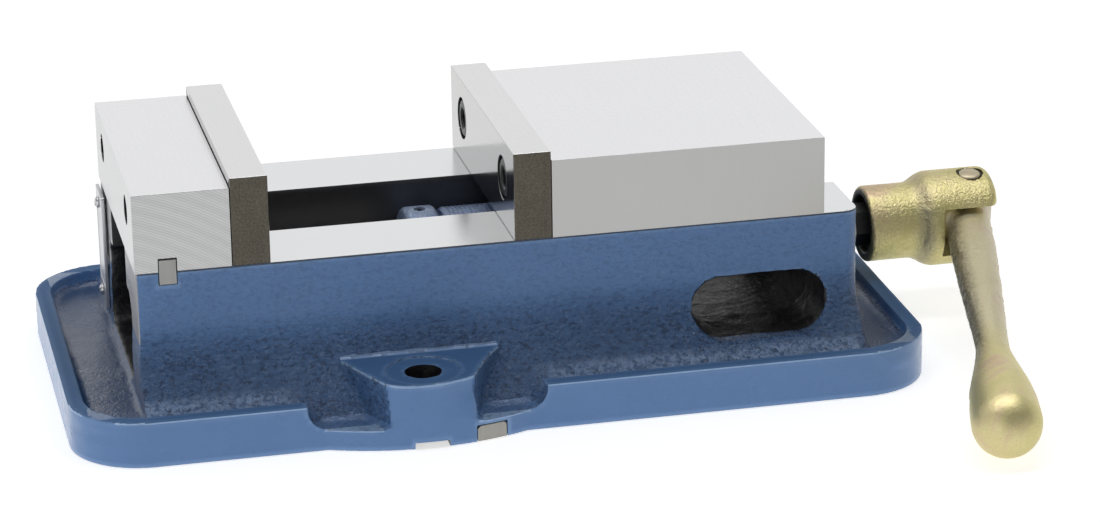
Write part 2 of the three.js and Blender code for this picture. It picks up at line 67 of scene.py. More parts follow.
# ------------------------------------------------------------------ shader helpers
class Shader:
    def __init__(self, name):
        self.mat = bpy.data.materials.new(name)
        self.mat.use_nodes = True
        self.t = self.mat.node_tree
        self.t.nodes.clear()
        self.out = self.t.nodes.new("ShaderNodeOutputMaterial")
        self.co = self.t.nodes.new("ShaderNodeTexCoord").outputs["Object"]

    def _set(self, socket, v):
        if isinstance(v, bpy.types.NodeSocket):
            self.t.links.new(v, socket)
        elif isinstance(v, tuple) and len(v) == 3 and socket.type == "RGBA":
            socket.default_value = (*v, 1)
        else:
            socket.default_value = v

    def mapping(self, scale=(1, 1, 1), rot=(0, 0, 0), loc=(0, 0, 0), vec=None):
        n = self.t.nodes.new("ShaderNodeMapping")
        self.t.links.new(vec or self.co, n.inputs["Vector"])
        n.inputs["Scale"].default_value = scale
        n.inputs["Rotation"].default_value = rot
        n.inputs["Location"].default_value = loc
        return n.outputs["Vector"]

    def noise(self, scale, detail=3, rough=0.55, distortion=0.0, vec=None):
        n = self.t.nodes.new("ShaderNodeTexNoise")
        self.t.links.new(vec or self.co, n.inputs["Vector"])
        n.inputs["Scale"].default_value = scale
        n.inputs["Detail"].default_value = detail
        n.inputs["Roughness"].default_value = rough
        n.inputs["Distortion"].default_value = distortion
        return n.outputs["Fac"]

    def voronoi(self, scale, smooth=0.6, vec=None, feature="SMOOTH_F1"):
        n = self.t.nodes.new("ShaderNodeTexVoronoi")
        n.feature = feature
        self.t.links.new(vec or self.co, n.inputs["Vector"])
        n.inputs["Scale"].default_value = scale
        if feature == "SMOOTH_F1":
            n.inputs["Smoothness"].default_value = smooth
        return n.outputs["Distance"]

    def ramp(self, fac, stops):
        n = self.t.nodes.new("ShaderNodeValToRGB")
        self.t.links.new(fac, n.inputs["Fac"])
        e = n.color_ramp.elements
        while len(e) < len(stops):
            e.new(0.5)
        for el, (p, c) in zip(e, stops):
            el.position = p
            el.color = (*c, 1) if isinstance(c, tuple) else (c, c, c, 1)
        return n.outputs["Color"]

    def mix(self, fac, a, b, kind="MIX"):
        n = self.t.nodes.new("ShaderNodeMix")
        n.data_type = "RGBA"
        n.blend_type = kind
        self._set(n.inputs[0], fac)
        self._set(n.inputs[6], a)
        self._set(n.inputs[7], b)
        return n.outputs[2]

    def math(self, op, a, b=0.0, clamp=False):
        n = self.t.nodes.new("ShaderNodeMath")
        n.operation = op
        n.use_clamp = clamp
        self._set(n.inputs[0], a)
        self._set(n.inputs[1], b)
        return n.outputs[0]

    def attr(self, name):
        n = self.t.nodes.new("ShaderNodeAttribute")
        n.attribute_name = name
        return n.outputs["Fac"]

    def wave(self, scale, distortion=0.0, direction="X", vec=None, profile="SIN", detail=2.0):
        n = self.t.nodes.new("ShaderNodeTexWave")
        n.wave_type = "BANDS"
        n.bands_direction = direction
        n.wave_profile = profile
        self.t.links.new(vec or self.co, n.inputs["Vector"])
        n.inputs["Scale"].default_value = scale
        n.inputs["Distortion"].default_value = distortion
        n.inputs["Detail"].default_value = detail
        return n.outputs["Fac"]

    def xyz(self):
        n = self.t.nodes.new("ShaderNodeSeparateXYZ")
        self.t.links.new(self.co, n.inputs[0])
        return n.outputs[0], n.outputs[1], n.outputs[2]

    def compare(self, a, b, eps):
        n = self.t.nodes.new("ShaderNodeMath")
        n.operation = "COMPARE"
        self._set(n.inputs[0], a)
        n.inputs[1].default_value = b
        n.inputs[2].default_value = eps
        return n.outputs[0]

    def bump(self, height, strength, distance, normal=None):
        n = self.t.nodes.new("ShaderNodeBump")
        self.t.links.new(height, n.inputs["Height"])
        self._set(n.inputs["Strength"], strength)
        n.inputs["Distance"].default_value = distance
        if normal is not None:
            self.t.links.new(normal, n.inputs["Normal"])
        return n.outputs["Normal"]

    def done(self, base, rough, metal=0.0, normal=None, **more):
        p = self.t.nodes.new("ShaderNodeBsdfPrincipled")
        self._set(p.inputs["Base Color"], base)
        self._set(p.inputs["Roughness"], rough)
        p.inputs["Metallic"].default_value = metal
        if normal is not None:
            self.t.links.new(normal, p.inputs["Normal"])
            if "Coat_Weight" in more:
                self.t.links.new(normal, p.inputs["Coat Normal"])
        for k, v in more.items():
            p.inputs[k.replace("_", " ")].default_value = v
        self.t.links.new(p.outputs["BSDF"], self.out.inputs["Surface"])
        return self.mat


def blue_paint():
    """Gloss enamel over a sand-cast skin; one face value says how rough the skin is, and it also darkens the paint as
    painted shade low in the cove and in the scoops.
    """
    s = Shader("cast_blue_paint")
    coarse_and_shade = s.attr("coarse_and_shade")
    edge_highlight = s.attr("edge_highlight")
    big = s.noise(26, 3, 0.5)
    mid = s.noise(170, 3, 0.6)
    base = s.mix(big, (0.078, 0.176, 0.385), (0.098, 0.214, 0.445))
    base = s.mix(s.math("MULTIPLY", mid, 0.30), base, (0.125, 0.265, 0.530))
    # painted shade: the paint is darker where the skin is rough, low in the cove and in the scoops
    base = s.mix(s.math("MULTIPLY", coarse_and_shade, 0.55), base, (0.024, 0.072, 0.180))
    # painted highlight: the paint is lightened along the convex casting edges
    base = s.mix(s.math("MULTIPLY", edge_highlight, 0.55, True), base, (0.26, 0.42, 0.68))
    x, y, z = s.xyz()
    # painted highlight: thin light lines along the rim's outer top edges, the lug top edges and the scoop lips
    out = s.math("MAXIMUM", s.math("GREATER_THAN", s.math("ABSOLUTE", y), 0.1085), s.math("GREATER_THAN", s.math("ABSOLUTE", x), 0.2065))
    along = s.math("ABSOLUTE", s.math("ADD", x, 0.04415))
    out = s.math("MULTIPLY", out, s.math("GREATER_THAN", along, 0.0560))
    rim_edge_highlight = s.math("MULTIPLY", s.compare(z, 0.0222, 0.0005), out)
    lug_edge_highlight = s.math("MULTIPLY", s.compare(z, 0.0316, 0.0006), s.math("GREATER_THAN", s.math("ABSOLUTE", y), 0.0815))
    lip_edge_highlight = s.math("MULTIPLY", s.compare(z, 0.0101, 0.0006), s.math("GREATER_THAN", s.math("ABSOLUTE", y), 0.1125))
    lip_edge_highlight = s.math("MULTIPLY", lip_edge_highlight, s.compare(along, 0.0365, 0.0135))
    light = s.math("MAXIMUM", s.math("MAXIMUM", rim_edge_highlight, lug_edge_highlight), lip_edge_highlight)
    base = s.mix(s.math("MULTIPLY", light, 0.75), base, (0.36, 0.52, 0.76))
    # a thin dark line painted along the top of the walls, just under the ways
    wall_top_dark_line = s.compare(z, 0.0828, 0.0007)
    base = s.mix(s.math("MULTIPLY", wall_top_dark_line, 0.85), base, (0.020, 0.025, 0.030))
    skin = s.math("MULTIPLY", coarse_and_shade, 1.0)
    # painted shade: dark flecks in the pits of the rough skin
    hollow_shade = s.ramp(s.noise(430, 3, 0.6, 0.5, vec=s.mapping(scale=(0.8, 0.8, 1.3))), [(0.36, 1.0), (0.52, 0.0)])
    base = s.mix(s.math("MULTIPLY", skin, s.math("MULTIPLY", hollow_shade, 0.70)), base, (0.008, 0.026, 0.075))
    glint = s.ramp(s.noise(520, 3, 0.62, 0.5, vec=s.mapping(scale=(0.8, 0.8, 1.3), loc=(0.4, 0.1, 0.2))), [(0.55, 0.0), (0.68, 1.0)])
    low = s.math("MULTIPLY", s.math("ADD", 0.0235, s.math("MULTIPLY", z, -1.0)), 330.0, True)
    low = s.math("MULTIPLY", low, s.math("LESS_THAN", s.math("ABSOLUTE", x), 0.176))
    low = s.math("MULTIPLY", low, s.math("MULTIPLY", s.math("SUBTRACT", along, 0.0560), 90.0, True))
    base = s.mix(s.math("MULTIPLY", skin, s.math("MULTIPLY", glint, 0.30)), base, (0.22, 0.35, 0.60))
    sheen = s.ramp(s.noise(360, 3, 0.62, 0.5), [(0.40, 0.10), (0.58, 1.0)])
    base = s.mix(s.math("MULTIPLY", s.math("MULTIPLY", low, skin), s.math("MULTIPLY", sheen, 0.62)), base, (0.38, 0.54, 0.82))
    # painted shade: the floors of the end pockets are darkened
    base = s.mix(s.math("MULTIPLY", s.attr("pocket_floor_shade"), 0.60), base, (0.008, 0.036, 0.120))
    # painted highlight: a light line along the fillet at the back of each lug top
    lug_back_highlight = s.math("MULTIPLY", s.compare(z, 0.0325, 0.0013), s.compare(s.math("ABSOLUTE", y), 0.0792, 0.0011))
    lug_back_highlight = s.math("MULTIPLY", lug_back_highlight, s.compare(x, -0.0418, 0.0385))
    base = s.mix(s.math("MULTIPLY", lug_back_highlight, 0.62), base, (0.32, 0.47, 0.74))
    peel = s.noise(900, 3, 0.55, 0.4)
    grain = s.noise(2000, 2, 0.6)
    lumps = s.noise(400, 3, 0.62, 0.6, vec=s.mapping(scale=(0.8, 0.8, 1.4)))
    n = s.bump(lumps, s.math("ADD", s.math("MULTIPLY", coarse_and_shade, 0.85), 0.05), 0.0023)
    n = s.bump(peel, s.math("ADD", s.math("MULTIPLY", coarse_and_shade, 0.70), 0.16), 0.0011, n)
    n = s.bump(grain, 0.20, 0.0003, n)
    rough = s.ramp(s.noise(90, 3, 0.6), [(0.3, 0.26), (0.7, 0.40)])
    return s.done(base, rough, 0.0, n, Coat_Weight=0.60, Coat_Roughness=0.12, Specular_IOR_Level=0.22)


def flat_blue_shaded():
    """The same enamel, thinner and duller, over the milled flats; its darker base is painted shade on these up-facing
    flats.
    """
    s = Shader("flat_blue_paint_shaded")
    edge_highlight = s.attr("edge_highlight")
    big = s.noise(30, 3, 0.5)
    base = s.mix(big, (0.066, 0.156, 0.335), (0.084, 0.188, 0.385))
    # painted highlight: the flat paint is lightened along its convex edges
    base = s.mix(s.math("MULTIPLY", edge_highlight, 0.75, True), base, (0.26, 0.40, 0.64))
    n = s.bump(s.noise(900, 2, 0.6), 0.15, 0.0002)
    return s.done(base, 0.55, 0.0, n, Specular_IOR_Level=0.12)


def ground(name, tint, rough, lay="x", lay_depth=0.000006, mottled=0.10, streak=0.05):
    """Surface-ground or milled steel: fine parallel lines, faint mottling."""
    s = Shader(name)
    stretch = {"x": (14, 900, 900), "y": (900, 14, 900), "z": (900, 900, 14)}[lay]
    lines = s.noise(1.0, 3, 0.7, vec=s.mapping(scale=stretch))
    fine = s.noise(1.0, 2, 0.6, vec=s.mapping(scale=tuple(3.1 * k for k in stretch), loc=(0.3, 0.7, 0.1)))
    cloud = s.noise(22, 4, 0.6)
    dark = tuple(k * (1 - mottled) for k in tint)
    light = tuple(min(1, k * (1 + mottled * 0.7)) for k in tint)
    base = s.mix(cloud, dark, light)
    base = s.mix(s.math("MULTIPLY", lines, streak), base, tuple(k * 0.6 for k in tint))
    r = s.math("ADD", s.math("MULTIPLY", lines, streak), rough - streak / 2)
    r = s.math("ADD", r, s.math("MULTIPLY", cloud, 0.02))
    n = s.bump(lines, 0.5, lay_depth)
    n = s.bump(fine, 0.35, lay_depth * 0.6, n)
    return s.done(base, r, 1.0, n)


def milled_end():
    """Jaw end face with the slightly curved marks of a fly cutter."""
    s = Shader("milled_end")
    def rings(period, distortion, detail):
        n = s.t.nodes.new("ShaderNodeTexWave")
        n.wave_type = "RINGS"
        n.rings_direction = "Y"
        s.t.links.new(s.mapping(loc=(0.232, 0, 0.062)), n.inputs["Vector"])
        n.inputs["Scale"].default_value = 2 * math.pi / (20 * period)
        n.inputs["Distortion"].default_value = distortion
        n.inputs["Detail"].default_value = detail
        n.inputs["Detail Scale"].default_value = 0.02
        return n.outputs["Fac"]
    arcs = rings(0.00125, 1.2, 2)
    fine = rings(0.00042, 0.8, 1)
    wide = rings(0.0061, 2.5, 2)
    cloud = s.noise(30, 3)
    base = s.mix(s.math("MULTIPLY", arcs, 0.7), (0.54, 0.54, 0.54), (0.41, 0.415, 0.415))
    base = s.mix(s.math("MULTIPLY", wide, 0.35), base, (0.39, 0.395, 0.395))
    base = s.mix(s.math("MULTIPLY", cloud, 0.25), base, (0.57, 0.57, 0.575))
    r = s.math("ADD", s.math("MULTIPLY", arcs, 0.10), 0.30)
    n = s.bump(arcs, 0.5, 0.00005)
    n = s.bump(fine, 0.3, 0.00002, n)
    return s.done(base, r, 1.0, n)


def inner_cast_shaded():
    """Bare dark casting inside the channel, made near-black: its own dark colour together with painted shade in the
    channel.
    """
    s = Shader("inner_cast_shaded")
    lumps = s.noise(260, 4, 0.65, 0.5)
    cloud = s.noise(30, 3)
    base = s.mix(cloud, (0.005, 0.005, 0.007), (0.013, 0.013, 0.017))
    n = s.bump(lumps, 0.5, 0.0015)
    r = s.ramp(s.noise(500, 2), [(0.3, 0.28), (0.7, 0.46)])
    return s.done(base, r, 0.0, n, Specular_IOR_Level=0.55)


def nut_blue():
    s = Shader("nut_skin")
    speck = s.noise(1400, 3, 0.7)
    cloud = s.noise(210, 3)
    fleck = s.ramp(s.noise(900, 3, 0.7), [(0.46, 0.0), (0.64, 1.0)])
    base = s.mix(cloud, (0.10, 0.17, 0.34), (0.29, 0.40, 0.63))
    base = s.mix(s.math("MULTIPLY", fleck, 0.6), base, (0.66, 0.72, 0.84))
    n = s.bump(speck, 0.6, 0.0006)
    return s.done(base, 0.28, 0.35, n)


def turned_steel(name, tint, rough, metal=1.0, axis="x"):
    s = Shader(name)
    stretch = {"x": (1600, 25, 25), "y": (25, 1600, 25), "z": (25, 25, 1600)}[axis]
    lines = s.noise(1.0, 3, 0.7, vec=s.mapping(scale=stretch))
    cloud = s.noise(60, 3)
    base = s.mix(cloud, tuple(k * 0.84 for k in tint), tint)
    r = s.math("ADD", s.math("MULTIPLY", lines, 0.16), rough - 0.06)
    n = s.bump(lines, 0.5, 0.00001)
    return s.done(base, r, metal, n)


def black_oxide():
    s = Shader("black_oxide")
    cloud = s.noise(120, 4, 0.6)
    speck = s.noise(1500, 2, 0.7)
    base = s.mix(cloud, (0.012, 0.012, 0.013), (0.040, 0.040, 0.043))
    r = s.ramp(speck, [(0.3, 0.30), (0.75, 0.50)])
    n = s.bump(speck, 0.25, 0.00006)
    return s.done(base, r, 0.35, n, Specular_IOR_Level=0.6)


def zinc(name, smooth):
    """Yellow chromate zinc: straw yellow drifting to rose and green, over a forged skin."""
    s = Shader(name)
    drift = s.noise(24, 4, 0.62, 0.9)
    drift2 = s.noise(62, 3, 0.6, 0.4, vec=s.mapping(loc=(3.1, 1.7, 0.4)))
    speck = s.noise(950, 3, 0.7)
    hue = s.ramp(drift, [(0.26, (0.40, 0.40, 0.15)), (0.40, (0.70, 0.64, 0.26)), (0.53, (0.78, 0.69, 0.35)), (0.64, (0.72, 0.51, 0.37)), (0.78, (0.46, 0.51, 0.20))])
    base = s.mix(s.math("MULTIPLY", drift2, 0.5), hue, (0.64, 0.58, 0.32))
    worn = s.attr("grey")
    base = s.mix(worn, base, (0.62, 0.57, 0.47) if smooth else (0.44, 0.38, 0.27))
    base = s.mix(s.math("MULTIPLY", speck, 0.30), base, (0.34, 0.29, 0.16))
    pores = s.ramp(s.noise(1300, 3, 0.65, 0.3), [(0.36, 1.0), (0.52, 0.0)])
    base = s.mix(s.math("MULTIPLY", pores, 0.12 if smooth else 0.30), base, (0.20, 0.16, 0.08))
    scale = s.ramp(s.noise(520, 4, 0.7, 0.4), [(0.40, 0.25), (0.58, 1.0)])
    base = s.mix(s.math("MULTIPLY", s.math("MULTIPLY", s.attr("shade"), scale), 0.72), base, (0.17, 0.14, 0.085))
    grain = s.noise(900, 3, 0.65)
    pits = s.noise(600, 3, 0.6)
    n = s.bump(pits, 0.35 if smooth else 0.55, 0.0006 if smooth else 0.0009)
    n = s.bump(grain, 0.30 if smooth else 0.55, 0.0003 if smooth else 0.0006, n)
    r = s.math("ADD", s.math("MULTIPLY", speck, 0.22), 0.36 if smooth else 0.33)
    return s.done(base, r, 0.85, n)


def jaw_plate_end():
    """Through-hardened plate with a brown oxide left on its ends."""
    s = Shader("plate_end")
    streak = s.noise(1.0, 4, 0.7, vec=s.mapping(scale=(420, 420, 30)))
    cloud = s.noise(55, 4, 0.6)
    base = s.mix(cloud, (0.066, 0.060, 0.048), (0.120, 0.108, 0.085))
    base = s.mix(s.math("MULTIPLY", streak, 0.45), base, (0.040, 0.036, 0.029))
    speck = s.ramp(s.noise(1100, 3, 0.7), [(0.42, 0.0), (0.62, 1.0)])
    base = s.mix(s.math("MULTIPLY", speck, 0.40), base, (0.185, 0.168, 0.130))
    r = s.math("ADD", s.math("MULTIPLY", streak, 0.2), 0.34)
    n = s.bump(streak, 0.4, 0.00002)
    return s.done(base, r, 0.8, n)


def plain(name, tint, rough, metal, scale=200, depth=0.00004):
    s = Shader(name)
    cloud = s.noise(scale, 4, 0.6)
    base = s.mix(cloud, tuple(k * 0.8 for k in tint), tint)
    r = s.math("ADD", s.math("MULTIPLY", cloud, 0.16), rough - 0.06)
    n = s.bump(s.noise(scale * 6, 3), 0.3, depth)
    return s.done(base, r, metal, n)


MAT = {
    "blue": blue_paint(),
    "flat_blue_shaded": flat_blue_shaded(),
    "way": ground("ground_way", (0.74, 0.75, 0.76), 0.20, "x", 0.000002, 0.03, 0.04),
    # dark machined steel for the slot walls, bores and keyways: its darkness is painted shade in these recesses
    "slot": plain("slot_painted_shade", (0.10, 0.10, 0.105), 0.42, 0.9),
    "jaw_top": ground("ground_top", (0.80, 0.80, 0.815), 0.26, "y", 0.0000015, 0.02, 0.04),
    "jaw_side": ground("ground_side", (0.46, 0.46, 0.455), 0.34, "z", 0.000004, 0.03, 0.06),
    "jaw_end": milled_end(),
    "plate_top": ground("plate_top", (0.73, 0.73, 0.735), 0.26, "y", 0.0000015, 0.02, 0.04),
    "plate_face": ground("plate_face", (0.43, 0.43, 0.425), 0.14, "y", 0.000003, 0.05, 0.05),
    "plate_end": jaw_plate_end(),
    "steel": turned_steel("turned_steel", (0.60, 0.60, 0.59), 0.34),
    "key": ground("key_steel", (0.36, 0.36, 0.345), 0.40, "z", 0.00002, 0.2, 0.4),
    "thread": turned_steel("thread_steel", (0.50, 0.50, 0.49), 0.30),
    "black": black_oxide(),
    "zinc_hub": zinc("zinc_hub", False),
    "zinc_arm": zinc("zinc_arm", True),
    "pin": plain("pin_end", (0.62, 0.54, 0.38), 0.42, 0.9, 300),
    "plate_al": plain("data_plate", (0.66, 0.67, 0.69), 0.36, 0.9, 80),
    "bronze": turned_steel("bronze", (0.55, 0.36, 0.14), 0.34),
    "rubber": plain("seal_rubber", (0.016, 0.016, 0.016), 0.75, 0.0),
    "inner": inner_cast_shaded(),
    # near-black steel for holes and pockets: its darkness is painted shade inside them
    "bore": plain("bore_painted_shade", (0.025, 0.025, 0.026), 0.5, 0.7),
    "jaw_left": ground("ground_left", (0.57, 0.575, 0.58), 0.30, "y", 0.0000015, 0.03, 0.04),
    "key_pale": ground("insert_steel", (0.42, 0.41, 0.375), 0.45, "z", 0.00002, 0.45, 0.3),
    # painted shade: darkened zinc for the crank hub's mouth and bores
    "zinc_bore_shade": plain("zinc_bore_shade", (0.10, 0.105, 0.065), 0.45, 0.7, 300, 0.0001),
    "nut": nut_blue(),
    "end_strip": ground("wall_end", (0.34, 0.35, 0.37), 0.38, "y", 0.00005, 0.30, 0.8),
}

# ------------------------------------------------------------------ mesh helpers
def link(obj):
    bpy.context.scene.collection.objects.link(obj)
    return obj


def evaluated(obj):
    dg = bpy.context.evaluated_depsgraph_get()
    me = bpy.data.meshes.new_from_object(obj.evaluated_get(dg))
    old = obj.data
    obj.modifiers.clear()
    obj.data = me
    if old.users == 0:
        bpy.data.meshes.remove(old)
    return obj


def smooth(obj, angle=35):
    me = obj.data
    me.polygons.foreach_set("use_smooth", np.ones(len(me.polygons), bool))
    me.set_sharp_from_angle(angle=math.radians(angle))
    me.update()
    return obj


def place(obj, mats, body, nodes, where=None):
    """Material slots, then the body it rides on and the CAD nodes it stands for."""
    obj.data.materials.clear()
    for k in [mats] if isinstance(mats, str) else mats:
        obj.data.materials.append(MAT[k])
    if where is not None:
        me = obj.data
        n = len(me.polygons)
        c = np.zeros(n * 3, np.float32); me.polygons.foreach_get("center", c)
        nn = np.zeros(n * 3, np.float32); me.polygons.foreach_get("normal", nn)
        c = c.reshape(-1, 3) / MM; nn = nn.reshape(-1, 3)
        me.polygons.foreach_set("material_index", where(c, nn).astype(np.int32))
        me.update()
    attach(obj, body)
    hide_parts(*([nodes] if isinstance(nodes, str) else nodes))
    return obj


def quick_mesh(name, co, faces):
    """co in millimetres, faces (n, 4)"""
    me = bpy.data.meshes.new(name)
    me.vertices.add(len(co))
    me.vertices.foreach_set("co", (np.asarray(co) * MM).astype(np.float32).ravel())
    me.loops.add(4 * len(faces))
    me.loops.foreach_set("vertex_index", np.asarray(faces).astype(np.int32).ravel())
    me.polygons.add(len(faces))
    me.polygons.foreach_set("loop_start", np.arange(0, 4 * len(faces), 4, dtype=np.int32))
    me.update(calc_edges=True)
    me.validate()
    return link(bpy.data.objects.new(name, me))


def lathe(name, profile, seg=64, axis="x", centre=(0, 0, AXIS_Z)):
    """Closed body of revolution. profile: (radius, distance along the axis) round a loop, or from axis to axis."""
    prof = list(profile)
    loop = prof[0][0] > 0
    bm = bmesh.new()
    rings = []
    for r, h in prof:
        ring = []
        for i in range(seg):
            a = 2 * math.pi * i / seg
            u, v = r * math.cos(a), r * math.sin(a)
            p = {"x": (h, u, v), "y": (v, h, u), "z": (u, v, h)}[axis]
            ring.append(bm.verts.new([(p[k] + centre[k]) * MM for k in range(3)]))
            if r == 0:
                break
        rings.append(ring)
    pairs = list(zip(rings, rings[1:])) + ([(rings[-1], rings[0])] if loop else [])
    for a, b in pairs:
        for i in range(seg):
            j = (i + 1) % seg
            quad = [a[i % len(a)], a[j % len(a)], b[j % len(b)], b[i % len(b)]]
            quad = [v for k, v in enumerate(quad) if v not in quad[:k]]
            if len(quad) > 2:
                bm.faces.new(quad)
    bmesh.ops.recalc_face_normals(bm, faces=bm.faces)
    me = bpy.data.meshes.new(name)
    bm.to_mesh(me)
    bm.free()
    return link(bpy.data.objects.new(name, me))


def block(name, lo, hi):
    bm = bmesh.new()
    bmesh.ops.create_cube(bm, size=1.0)
    for v in bm.verts:
        for k in range(3):
            v.co[k] = (lo[k] + (v.co[k] + 0.5) * (hi[k] - lo[k])) * MM
    me = bpy.data.meshes.new(name)
    bm.to_mesh(me)
    bm.free()
    return link(bpy.data.objects.new(name, me))


def prism(name, outline, lo, hi, axis="y"):
    """outline of (u, v) pushed along axis; 'y' takes (x, z), 'x' takes (y, z), 'z' takes (x, y)"""
    bm = bmesh.new()
    ends = []
    for h in (lo, hi):
        ring = []
        for u, v in outline:
            p = {"y": (u, h, v), "x": (h, u, v), "z": (u, v, h)}[axis]
            ring.append(bm.verts.new([k * MM for k in p]))
        ends.append(ring)
    bm.faces.new(ends[0]); bm.faces.new(ends[1])
    n = len(outline)
    for i in range(n):
        bm.faces.new([ends[0][i], ends[0][(i + 1) % n], ends[1][(i + 1) % n], ends[1][i]])
    bmesh.ops.recalc_face_normals(bm, faces=bm.faces)
    me = bpy.data.meshes.new(name)
    bm.to_mesh(me)
    bm.free()
    return link(bpy.data.objects.new(name, me))


def boolean(obj, cutters, op="DIFFERENCE"):
    for c in cutters:
        m = obj.modifiers.new("b", "BOOLEAN")
        m.operation = op
        m.solver = "EXACT"
        m.object = c
    evaluated(obj)
    for c in cutters:
        me = c.data
        bpy.data.objects.remove(c)
        bpy.data.meshes.remove(me)
    return obj


def bevel(obj, width, segments=2, angle=35):
    m = obj.modifiers.new("bevel", "BEVEL")
    m.width = width * MM
    m.segments = segments
    m.limit_method = "ANGLE"
    m.angle_limit = math.radians(angle)
    m.harden_normals = False
    m.use_clamp_overlap = True
    return evaluated(obj)


# ------------------------------------------------------------------ distance fields
def uni(a, b, r=0.0):
    if np.ndim(r) == 0 and r <= 0:
        return np.minimum(a, b)
    return np.maximum(r, np.minimum(a, b)) - np.hypot(np.maximum(r - a, 0), np.maximum(r - b, 0))


def inter(a, b, r=0.0):
    if np.ndim(r) == 0 and r <= 0:
        return np.maximum(a, b)
    return np.minimum(-r, np.maximum(a, b)) + np.hypot(np.maximum(r + a, 0), np.maximum(r + b, 0))


def sub(a, b, r=0.0):
    return inter(a, -b, r)


def rrect(u, v, u0, u1, v0, v1, r):
    qu = np.abs(u - (u0 + u1) / 2) - (u1 - u0) / 2 + r
    qv = np.abs(v - (v0 + v1) / 2) - (v1 - v0) / 2 + r
    return np.hypot(np.maximum(qu, 0), np.maximum(qv, 0)) + np.minimum(np.maximum(qu, qv), 0) - r


def slab(w, w0, w1):
    return np.abs(w - (w0 + w1) / 2) - (w1 - w0) / 2


def ext(d2, w, w0, w1, r=0.0):
    return inter(d2, slab(w, w0, w1), r)


def polygon(u, v, pts):
    """Signed distance to a closed polygon."""
    u, v = np.broadcast_arrays(u, v)
    best = np.full(u.shape, 1e9)
    sign = np.ones(u.shape)
    n = len(pts)
    for i in range(n):
        ax, ay = pts[i]
        bx, by = pts[i - 1]
        ex, ey = bx - ax, by - ay
        wx, wy = u - ax, v - ay
        t = np.clip((wx * ex + wy * ey) / (ex * ex + ey * ey), 0, 1)
        best = np.minimum(best, (wx - ex * t) ** 2 + (wy - ey * t) ** 2)
        c1, c2, c3 = v >= ay, v < by, ex * wy > ey * wx
        flip = (c1 & c2 & c3) | (~c1 & ~c2 & ~c3)
        sign = np.where(flip, -sign, sign)
    return sign * np.sqrt(best)


def dual_contour(f, lo, hi, h, soft=0.04):
    """Quads of the surface f = 0, with its sharp edges kept. f is negative inside."""
    lo = np.array(lo, float)
    n = np.ceil((np.array(hi, float) - lo) / h).astype(int) + 1
    ax = [lo[k] + h * np.arange(n[k]) for k in range(3)]
    F = np.broadcast_to(f(ax[0][:, None, None], ax[1][None, :, None], ax[2][None, None, :]), tuple(n)).astype(float)
    inside = F < 0
    cells = n - 1
    P, N, C, edges = [], [], [], []
    for a in range(3):
        b, c = (a + 1) % 3, (a + 2) % 3
        s0 = [slice(None)] * 3; s1 = [slice(None)] * 3
        s0[a] = slice(0, -1); s1[a] = slice(1, None)
        idx = np.argwhere(inside[tuple(s0)] != inside[tuple(s1)])
        nxt = idx.copy(); nxt[:, a] += 1
        f0, f1 = F[tuple(idx.T)], F[tuple(nxt.T)]
        start_in = f0 < 0
        t0, t1 = np.zeros(len(idx)), np.ones(len(idx))
        t = f0 / (f0 - f1)
        for _ in range(3):
            p = lo + h * idx
            p[:, a] += h * t
            ft = f(p[:, 0], p[:, 1], p[:, 2])
            low = (ft < 0) == start_in
            t0 = np.where(low, t, t0); f0 = np.where(low, ft, f0)
            t1 = np.where(low, t1, t); f1 = np.where(low, f1, ft)
            d = f0 - f1
            t = np.where(np.abs(d) > 1e-12, t0 + (t1 - t0) * f0 / np.where(np.abs(d) > 1e-12, d, 1), t)
        p = lo + h * idx
        p[:, a] += h * t
        e = 0.02
        g = np.stack([f(p[:, 0] + e * (k == 0), p[:, 1] + e * (k == 1), p[:, 2] + e * (k == 2))
                      - f(p[:, 0] - e * (k == 0), p[:, 1] - e * (k == 1), p[:, 2] - e * (k == 2)) for k in range(3)], 1)
        g /= np.maximum(np.linalg.norm(g, axis=1), 1e-12)[:, None]
        around = []
        for db, dc in ((-1, -1), (0, -1), (0, 0), (-1, 0)):
            q = idx.copy(); q[:, b] += db; q[:, c] += dc
            around.append((q[:, 0] * cells[1] + q[:, 1]) * cells[2] + q[:, 2])
        around = np.stack(around, 1)
        around = np.where(start_in[:, None], around, around[:, ::-1])
        edges.append(around)
        for k in range(4):
            P.append(p); N.append(g); C.append(around[:, k])
    P, N, C = np.concatenate(P), np.concatenate(N), np.concatenate(C)
    ids, inv = np.unique(C, return_inverse=True)
    m = len(ids)
    count = np.bincount(inv, minlength=m)
    mass = np.stack([np.bincount(inv, P[:, k], m) for k in range(3)], 1) / count[:, None]
    R = P - mass[inv]
    dots = (R * N).sum(1)
    A = np.zeros((m, 3, 3)); B = np.zeros((m, 3))
    for i in range(3):
        B[:, i] = np.bincount(inv, N[:, i] * dots, m)
        for j in range(i, 3):
            A[:, i, j] = A[:, j, i] = np.bincount(inv, N[:, i] * N[:, j], m)
    A[:, range(3), range(3)] += soft * count[:, None]
    x = mass + np.linalg.solve(A, B[:, :, None])[:, :, 0]
    k = ids % cells[2]; j = (ids // cells[2]) % cells[1]; i = ids // (cells[1] * cells[2])
    base = lo + h * np.stack([i, j, k], 1)
    x = np.clip(x, base - 0.05 * h, base + 1.05 * h)
    quads = np.searchsorted(ids, np.concatenate(edges))
    return x, quads


